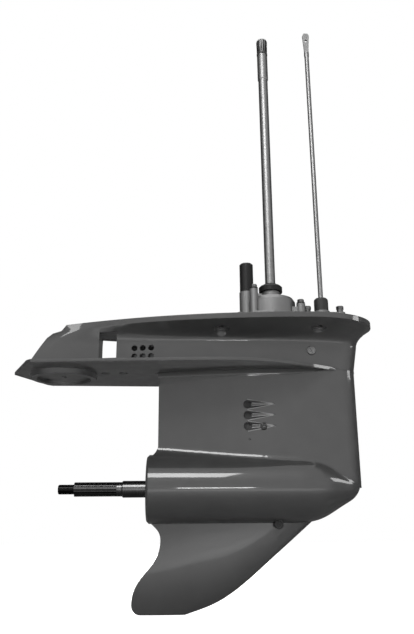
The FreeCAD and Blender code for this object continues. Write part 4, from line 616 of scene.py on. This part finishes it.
def turned_mesh(profile, centre, axis, steps=turned_steps):
    """A solid turned about an axis, from (radius, height) pairs in millimetres."""
    axis = Vector(axis).normalized()
    first = axis.orthogonal().normalized()
    second = axis.cross(first)
    shape = bmesh.new()
    rings = []
    for radius, height in profile:
        middle = Vector(centre) + axis * height
        turns = [2 * math.pi * step / steps for step in range(steps if radius else 1)]
        rings.append([shape.verts.new((middle + (first * math.cos(turn) + second * math.sin(turn))
                                       * radius) * MM) for turn in turns])
    for one, two in zip(rings, rings[1:]):
        for step in range(steps):
            after = step + 1
            corners = [one[step % len(one)], one[after % len(one)],
                       two[after % len(two)], two[step % len(two)]]
            shape.faces.new(list(dict.fromkeys(corners)))
    bmesh.ops.recalc_face_normals(shape, faces=shape.faces)
    crease_edges(shape, soft_crease)
    mesh = bpy.data.meshes.new("turned")
    shape.to_mesh(mesh)
    shape.free()
    return mesh


def carved(mesh, cutters):
    """A mesh less the shapes of some cutters."""
    whole = bpy.data.objects.new("whole", mesh)
    bpy.context.scene.collection.objects.link(whole)
    tools = []
    for cutter in cutters:
        tool = bpy.data.objects.new("tool", cutter)
        bpy.context.scene.collection.objects.link(tool)
        modifier = whole.modifiers.new("cut", "BOOLEAN")
        modifier.object = tool
        modifier.solver = "EXACT"
        tools.append(tool)
    depsgraph = bpy.context.evaluated_depsgraph_get()
    result = bpy.data.meshes.new_from_object(whole.evaluated_get(depsgraph))
    for spent in tools + [whole]:
        bpy.data.objects.remove(spent)
    shape = bmesh.new()
    shape.from_mesh(result)
    bmesh.ops.remove_doubles(shape, verts=shape.verts, dist=cut_merge_within * MM)
    crease_edges(shape, soft_crease)
    shape.to_mesh(result)
    shape.free()
    return result


def joined(meshes):
    """Several meshes as one."""
    shape = bmesh.new()
    for mesh in meshes:
        shape.from_mesh(mesh)
    result = bpy.data.meshes.new("joined")
    shape.to_mesh(result)
    shape.free()
    return result


screen_low, screen_high = (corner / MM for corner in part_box("water_screens"))
strand_pitch = 1.7
strand_radius = 0.75
strand_points, strand_edges = [], []
for hand in (-1, 1):
    y = hand * (screen_high.y - strand_radius)
    low_x, high_x = screen_low.x + strand_radius, screen_high.x - strand_radius
    low_z, high_z = screen_low.z + strand_radius, screen_high.z - strand_radius
    lines = [((low_x, z), (high_x, z)) for z in (low_z, high_z)]
    for number in range(int((high_x - low_x) / strand_pitch) + 1):
        x = low_x + number * strand_pitch
        lines.append(((x, low_z), (x, high_z)))
    for line in lines:
        strand_points += [(x, y, z) for x, z in line]
        strand_edges.append((len(strand_points) - 2, len(strand_points) - 1))
screen_mesh = grown("screens", strand_points, strand_edges, round_bars,
                    {"Bar Radius": strand_radius * MM, "Finish": screen_plastic})
new_piece("water_screen_mesh", screen_mesh, screen_plastic, "housing", "black_plastic",
          "water_screens")
screw_low, screw_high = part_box("screen_screws")
screw_x = (screw_low.x + screw_high.x) / 2 / MM
screw_z = (screw_low.z + screw_high.z) / 2 / MM
screw_head_r = (screw_high.x - screw_low.x) / 2 / MM
screw_out = screw_high.y / MM
screw_shank_r = 2.4
screw_long = 12
screw_head_high = 3
# The crown's corners: how far in from the head's edge, and how far below its top.
screw_crown = ((0, 1.6), (0.6, 0.7), (1.8, 0.1))
recess_reach = 3.6
recess_half = 0.8
recess_deep = 1.6
recess_turn = 0.4
screws = []
for hand in (-1, 1):
    centre = (screw_x, hand * screw_out, screw_z)
    profile = [(0, -screw_long), (screw_shank_r, -screw_long),
               (screw_shank_r, -screw_head_high), (screw_head_r, -screw_head_high)]
    profile += [(screw_head_r - inward, -below) for inward, below in screw_crown] + [(0, 0)]
    recess = [box_mesh(centre, (recess_reach, 0, 0), (0, 0, recess_half), (0, recess_deep, 0),
                       turn) for turn in (recess_turn, recess_turn + math.pi / 2)]
    screws.append(carved(turned_mesh(profile, centre, (0, hand, 0)), recess))
new_piece("screen_screw_heads", joined(screws), screw_steel, "housing", "stainless",
          "screen_screws")


# Oil plugs. Slotted plugs with sealing washers: the vent high on the neck, painted over and
# rubbed bright on its rim, and the drain at the skeg's root, coloured near black as painted
# shade.
plug_paint = finish("plug_paint", dark=0.13, light=0.2, rough=(0.35, 0.5), metallic=0.3,
                    patch=150, grain=1500, grain_mm=0.01, edge=0.4 * MM)
# The drain plug's near-black colour is painted shade.
plug_painted_shade = finish("plug_painted_shade", dark=0.012, light=0.025, rough=(0.5, 0.6), metallic=0.2,
                      patch=150, grain=1500, grain_mm=0.02, edge=0.4 * MM)
fibre = finish("gasket_fibre", dark=0.03, light=0.06, rough=(0.7, 0.85), patch=200, grain=2500,
               grain_mm=0.04)
plug_shank_r = 4.9
plug_head_high = 4
# The rim's corners: how far in from the head's edge, and how far below its top.
plug_rim = ((0, 0.8), (0.8, 0), (1.8, 0), (2.6, 0.9))
plug_boss = [(3.2, -1.1), (2.4, -0.4), (0, -0.3)]
slot_reach = 5.2
slot_half = 0.8
slot_deep = 2
vent_turns = (1.2,)
drain_turns = (0.7, 0.7 + math.pi / 2)
give_finish(fibre, "plug_gaskets")


def plug_mesh(name, turns):
    """A plug's head with a raised rim and a low boss in its middle, cut by a slot a turn."""
    low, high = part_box(name)
    centre = ((low.x + high.x) / 2 / MM, low.y / MM, (low.z + high.z) / 2 / MM)
    radius = (high.x - low.x) / 2 / MM
    foot = (high.y - low.y) / MM
    profile = [(0, -foot), (plug_shank_r, -foot), (plug_shank_r, -plug_head_high),
               (radius, -plug_head_high)]
    profile += [(radius - inward, -below) for inward, below in plug_rim] + plug_boss
    return carved(turned_mesh(profile, centre, (0, -1, 0)),
                  [box_mesh(centre, (slot_reach, 0, 0), (0, 0, slot_half), (0, slot_deep, 0),
                            turn) for turn in turns])


new_piece("vent_plug_head", plug_mesh("vent_plug", vent_turns), plug_paint, "housing",
          "stainless", "vent_plug")
new_piece("drain_plug_head", plug_mesh("drain_plug", drain_turns), plug_painted_shade, "housing",
          "stainless", "drain_plug")


# Gears, clutch and bearings. Case-hardened gears, ground races and rollers, bronze bushings,
# all with a film of oil.
gear_steel = finish("gear_steel", dark=0.16, light=0.24, rough=(0.3, 0.42), metallic=1.0,
                    patch=90, grain=2000, grain_mm=0.008, edge=0.4 * MM, Coat_Weight=0.4,
                    Coat_Roughness=0.15)
bearing_steel = finish("bearing_steel", dark=0.42, light=0.52, rough=(0.16, 0.28),
                       metallic=1.0, patch=90, grain=2500, grain_mm=0.003, edge=0.3 * MM)
bronze = finish("bronze", dark=0.25, light=0.32, rough=(0.3, 0.4), metallic=1.0, patch=90,
                grain=2000, grain_mm=0.01, edge=0.3 * MM)
give_finish(gear_steel, "pinion_gear", "forward_gear", "reverse_gear", "clutch_dog",
            "shift_lever")
give_finish(bearing_steel, "pinion_bearing", "upper_bearing_shims", "upper_bearing_cup",
            "bearing_lock_ring", "forward_bearing_cup", "forward_shims",
            "reverse_bearing_outer", "carrier_needle_bearing", "upper_bearing_cone",
            "upper_bearing_rollers", "forward_bearing_cone", "forward_bearing_rollers",
            "reverse_bearing_inner", "reverse_bearing_rollers")
give_finish(bronze, "shift_rod_bushing", "forward_gear_bushing")


# Propeller shaft. Ground steel with a dark base colour, with rolled splines whose grooves are
# darkened with painted shade and old grease, and a cut thread at its end for the propeller nut.
# The colour laid in the spline grooves: painted shade, with old grease.
grease_and_shade = (0.012, 0.012, 0.012, 1)


def groove_shade_and_grease():
    """A mask of 1 below a radius about an axis, within a length of it."""
    tree, given, result = group_tree(
        "groove_shade_and_grease",
        [("Centre", "NodeSocketVector", None), ("Axis", "NodeSocketVector", None),
         ("Root", "NodeSocketFloat", 0.0), ("Crest", "NodeSocketFloat", 0.0),
         ("Start", "NodeSocketFloat", 0.0), ("End", "NodeSocketFloat", 0.0)],
        [("Mask", "NodeSocketFloat")])
    place = tree.nodes.new("ShaderNodeTexCoord")

    def vector_step(operation, one, two, out="Vector"):
        step = tree.nodes.new("ShaderNodeVectorMath")
        step.operation = operation
        tree.links.new(one, step.inputs[0])
        tree.links.new(two, step.inputs["Scale" if operation == "SCALE" else 1])
        return step.outputs[out]

    def compare(operation, one, two):
        step = tree.nodes.new("ShaderNodeMath")
        step.operation = operation
        tree.links.new(one, step.inputs[0])
        tree.links.new(two, step.inputs[1])
        return step.outputs["Value"]

    local = vector_step("SUBTRACT", place.outputs["Object"], given.outputs["Centre"])
    along = vector_step("DOT_PRODUCT", local, given.outputs["Axis"], "Value")
    across = vector_step("SUBTRACT", local, vector_step("SCALE", given.outputs["Axis"], along))
    radius = vector_step("LENGTH", across, across, "Value")
    fade = tree.nodes.new("ShaderNodeMapRange")
    tree.links.new(radius, fade.inputs["Value"])
    tree.links.new(given.outputs["Root"], fade.inputs["From Min"])
    tree.links.new(given.outputs["Crest"], fade.inputs["From Max"])
    fade.inputs["To Min"].default_value = 1.0
    fade.inputs["To Max"].default_value = 0.0
    within = compare("MULTIPLY", compare("GREATER_THAN", along, given.outputs["Start"]),
                     compare("LESS_THAN", along, given.outputs["End"]))
    tree.links.new(compare("MULTIPLY", fade.outputs["Result"], within), result.inputs["Mask"])
    return tree


GROOVE_SHADE_AND_GREASE = groove_shade_and_grease()


def shade_and_grease_grooves(material, centre, axis, root, crest, start, end):
    """Darken the grooves of a shaft's finish with painted shade and old grease; all sizes in
    millimetres.
    """
    tree = material.node_tree
    shader = tree.nodes["Principled BSDF"]
    mask = tree.nodes.new("ShaderNodeGroup")
    mask.node_tree = GROOVE_SHADE_AND_GREASE
    mask.inputs["Centre"].default_value = Vector(centre) * MM
    mask.inputs["Axis"].default_value = axis
    for label, value in (("Root", root), ("Crest", crest), ("Start", start), ("End", end)):
        mask.inputs[label].default_value = value * MM
    mix = tree.nodes.new("ShaderNodeMix")
    mix.data_type = "RGBA"
    tree.links.new(mask.outputs["Mask"], mix.inputs["Factor"])
    tree.links.new(tree.nodes["texture"].outputs["Color"], mix.inputs["A"])
    mix.inputs["B"].default_value = grease_and_shade
    tree.links.new(mix.outputs["Result"], shader.inputs["Base Color"])


shaft_low, shaft_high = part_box("propshaft")
prop_steel = finish("prop_shaft_steel", dark=0.07, light=0.15, rough=(0.2, 0.3), metallic=1.0,
                    patch=60, grain=1200, stretch=(6, 1, 1))
# Painted shade and old grease darken the grooves of the splines.
shade_and_grease_grooves(prop_steel, centre=(0, 0, -306), axis=(-1, 0, 0), root=11.6, crest=12.4, start=200,
        end=400)
thread_pitch = 1.6
thread_length = 25.0
thread_rise = 0.35
thread_core = 8.4
thread_start = 1.5
thread_steps = 28
ridge_sides = 4


def thread_tree():
    """Geometry nodes: a ridge with a sharp crest, wound along +X from the origin."""
    tree = bpy.data.node_groups.new("cut_thread", "GeometryNodeTree")
    tree.interface.new_socket("Geometry", in_out="INPUT", socket_type="NodeSocketGeometry")
    for label in ("Core Radius", "Turns", "Length", "Ridge"):
        tree.interface.new_socket(label, in_out="INPUT", socket_type="NodeSocketFloat")
    tree.interface.new_socket("Place", in_out="INPUT", socket_type="NodeSocketVector")
    tree.interface.new_socket("Finish", in_out="INPUT", socket_type="NodeSocketMaterial")
    tree.interface.new_socket("Geometry", in_out="OUTPUT", socket_type="NodeSocketGeometry")
    given, result = tree.nodes.new("NodeGroupInput"), tree.nodes.new("NodeGroupOutput")
    wound = tree.nodes.new("GeometryNodeCurveSpiral")
    wound.inputs["Resolution"].default_value = thread_steps
    crest = tree.nodes.new("GeometryNodeCurvePrimitiveCircle")
    crest.inputs["Resolution"].default_value = ridge_sides
    sweep = tree.nodes.new("GeometryNodeCurveToMesh")
    sweep.inputs["Fill Caps"].default_value = True
    laid = tree.nodes.new("GeometryNodeTransform")
    laid.inputs["Rotation"].default_value = (0, math.pi / 2, 0)
    real = tree.nodes.new("GeometryNodeRealizeInstances")
    painted = tree.nodes.new("GeometryNodeSetMaterial")
    for socket in ("Start Radius", "End Radius"):
        tree.links.new(given.outputs["Core Radius"], wound.inputs[socket])
    tree.links.new(given.outputs["Turns"], wound.inputs["Rotations"])
    tree.links.new(given.outputs["Length"], wound.inputs["Height"])
    tree.links.new(given.outputs["Ridge"], crest.inputs["Radius"])
    tree.links.new(wound.outputs["Curve"], sweep.inputs["Curve"])
    tree.links.new(crest.outputs["Curve"], sweep.inputs["Profile Curve"])
    tree.links.new(sweep.outputs["Mesh"], laid.inputs["Geometry"])
    tree.links.new(given.outputs["Place"], laid.inputs["Translation"])
    tree.links.new(laid.outputs["Geometry"], real.inputs["Geometry"])
    tree.links.new(real.outputs["Geometry"], painted.inputs["Geometry"])
    tree.links.new(given.outputs["Finish"], painted.inputs["Material"])
    tree.links.new(painted.outputs["Geometry"], result.inputs["Geometry"])
    return tree


give_finish(prop_steel, "propshaft", "thrust_washer")
thread_place = Vector((shaft_low.x + thread_start * MM, 0,
                       (shaft_low.z + shaft_high.z) / 2))
thread_mesh = grown("propshaft_thread", [(0, 0, 0)], [], thread_tree(),
                    {"Core Radius": thread_core * MM, "Turns": thread_length / thread_pitch,
                     "Length": thread_length * MM, "Ridge": thread_rise * MM,
                     "Place": thread_place, "Finish": prop_steel})
new_piece("propshaft_thread", thread_mesh, prop_steel, "prop", "shaft_steel")


# Bearing carrier with its seals, lock ring and tab washer, in the mouth of the torpedo. The
# carrier is a bare casting and the lock ring is stainless steel.
casting = finish("bare_casting", dark=0.13, light=0.20, rough=(0.42, 0.6), metallic=0.8,
                 patch=60, grain=1500, wave_mm=0.05, grain_mm=0.06, edge=0.9 * MM)
stainless = finish("stainless", dark=0.38, light=0.5, rough=(0.2, 0.32), metallic=1.0,
                   patch=90, grain=2500, grain_mm=0.006, edge=0.4 * MM)
black_rubber = finish("black_rubber", dark=0.016, light=0.028, rough=(0.5, 0.62), patch=120,
                      grain=1500, grain_mm=0.03, edge=0.6 * MM, Specular_IOR_Level=0.35)
give_finish(casting, "bearing_carrier")
give_finish(stainless, "tab_washer", "carrier_lock_ring")
give_finish(black_rubber, "carrier_o_ring", "propshaft_seals")


# Drive shaft. Turned and ground steel with a sealing sleeve and a splined head whose grooves are
# darkened with painted shade and old grease. The water pump's key and impeller and the pinion's
# nut are on it.
drive_steel = finish("drive_shaft_steel", dark=0.16, light=0.24, rough=(0.34, 0.44),
                     metallic=1.0, patch=70, grain=1200, stretch=(1, 1, 6))
# Painted shade and old grease darken the grooves of the splined head.
shade_and_grease_grooves(drive_steel, centre=(10, 0, 0), axis=(0, 0, 1), root=10.8, crest=11.8, start=622,
        end=660)
give_finish(drive_steel, "driveshaft", "pinion_nut", "impeller_key", "dowel_pins",
            "clutch_pin", "clutch_spring", "shift_plunger", "lever_pin")
give_finish(black_rubber, "driveshaft_o_ring", "impeller", "driveshaft_seals",
            "seal_housing_o_ring")


# Water pump. Bare castings on the mating face, a steel plate and liner, a black water tube,
# and four long bolts with black washers. Webs tie the two forward bolt ears to the body.
bolt_steel = finish("bolt_steel", dark=0.07, light=0.14, rough=(0.35, 0.5), metallic=0.9,
                    patch=250, grain=2500, grain_mm=0.01, edge=0.3 * MM)
pump_casting = finish("pump_casting", dark=0.14, light=0.20, rough=(0.4, 0.55), metallic=0.75,
                      patch=45, grain=1100, wave_mm=0.08, grain_mm=0.09, edge=1.2 * MM)
give_finish(pump_casting, "pump_housing", "seal_housing")
give_finish(fibre, "pump_gasket", "shift_cover_gasket")
pump_low, pump_high = (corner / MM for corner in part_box("pump_housing"))
ear_web_top = 30.0
ear_web_x = 54
ear_web_y = 26
ear_web_half_long = 8
ear_web_half_thick = 5.5
webs = [box_mesh((ear_web_x, hand * ear_web_y, (pump_low.z + ear_web_top) / 2),
                 (ear_web_half_long, 0, 0), (0, ear_web_half_thick, 0),
                 (0, 0, (ear_web_top - pump_low.z) / 2)) for hand in (-1, 1)]
new_piece("pump_ear_webs", joined(webs), pump_casting, "housing", "cast_alloy")
give_finish(stainless, "pump_plate", "pump_liner")
give_finish(bolt_steel, "pump_bolts", "shift_cover_bolts")
give_finish(black_plastic, "water_tube", "pump_bolt_washers", "slinger_ring")


# Shift rod, with its cover on the mating face and a rubber boot over the cover's neck.
give_finish(drive_steel, "shift_rod")
give_finish(casting, "shift_rod_cover")
give_finish(black_rubber, "shift_boot")
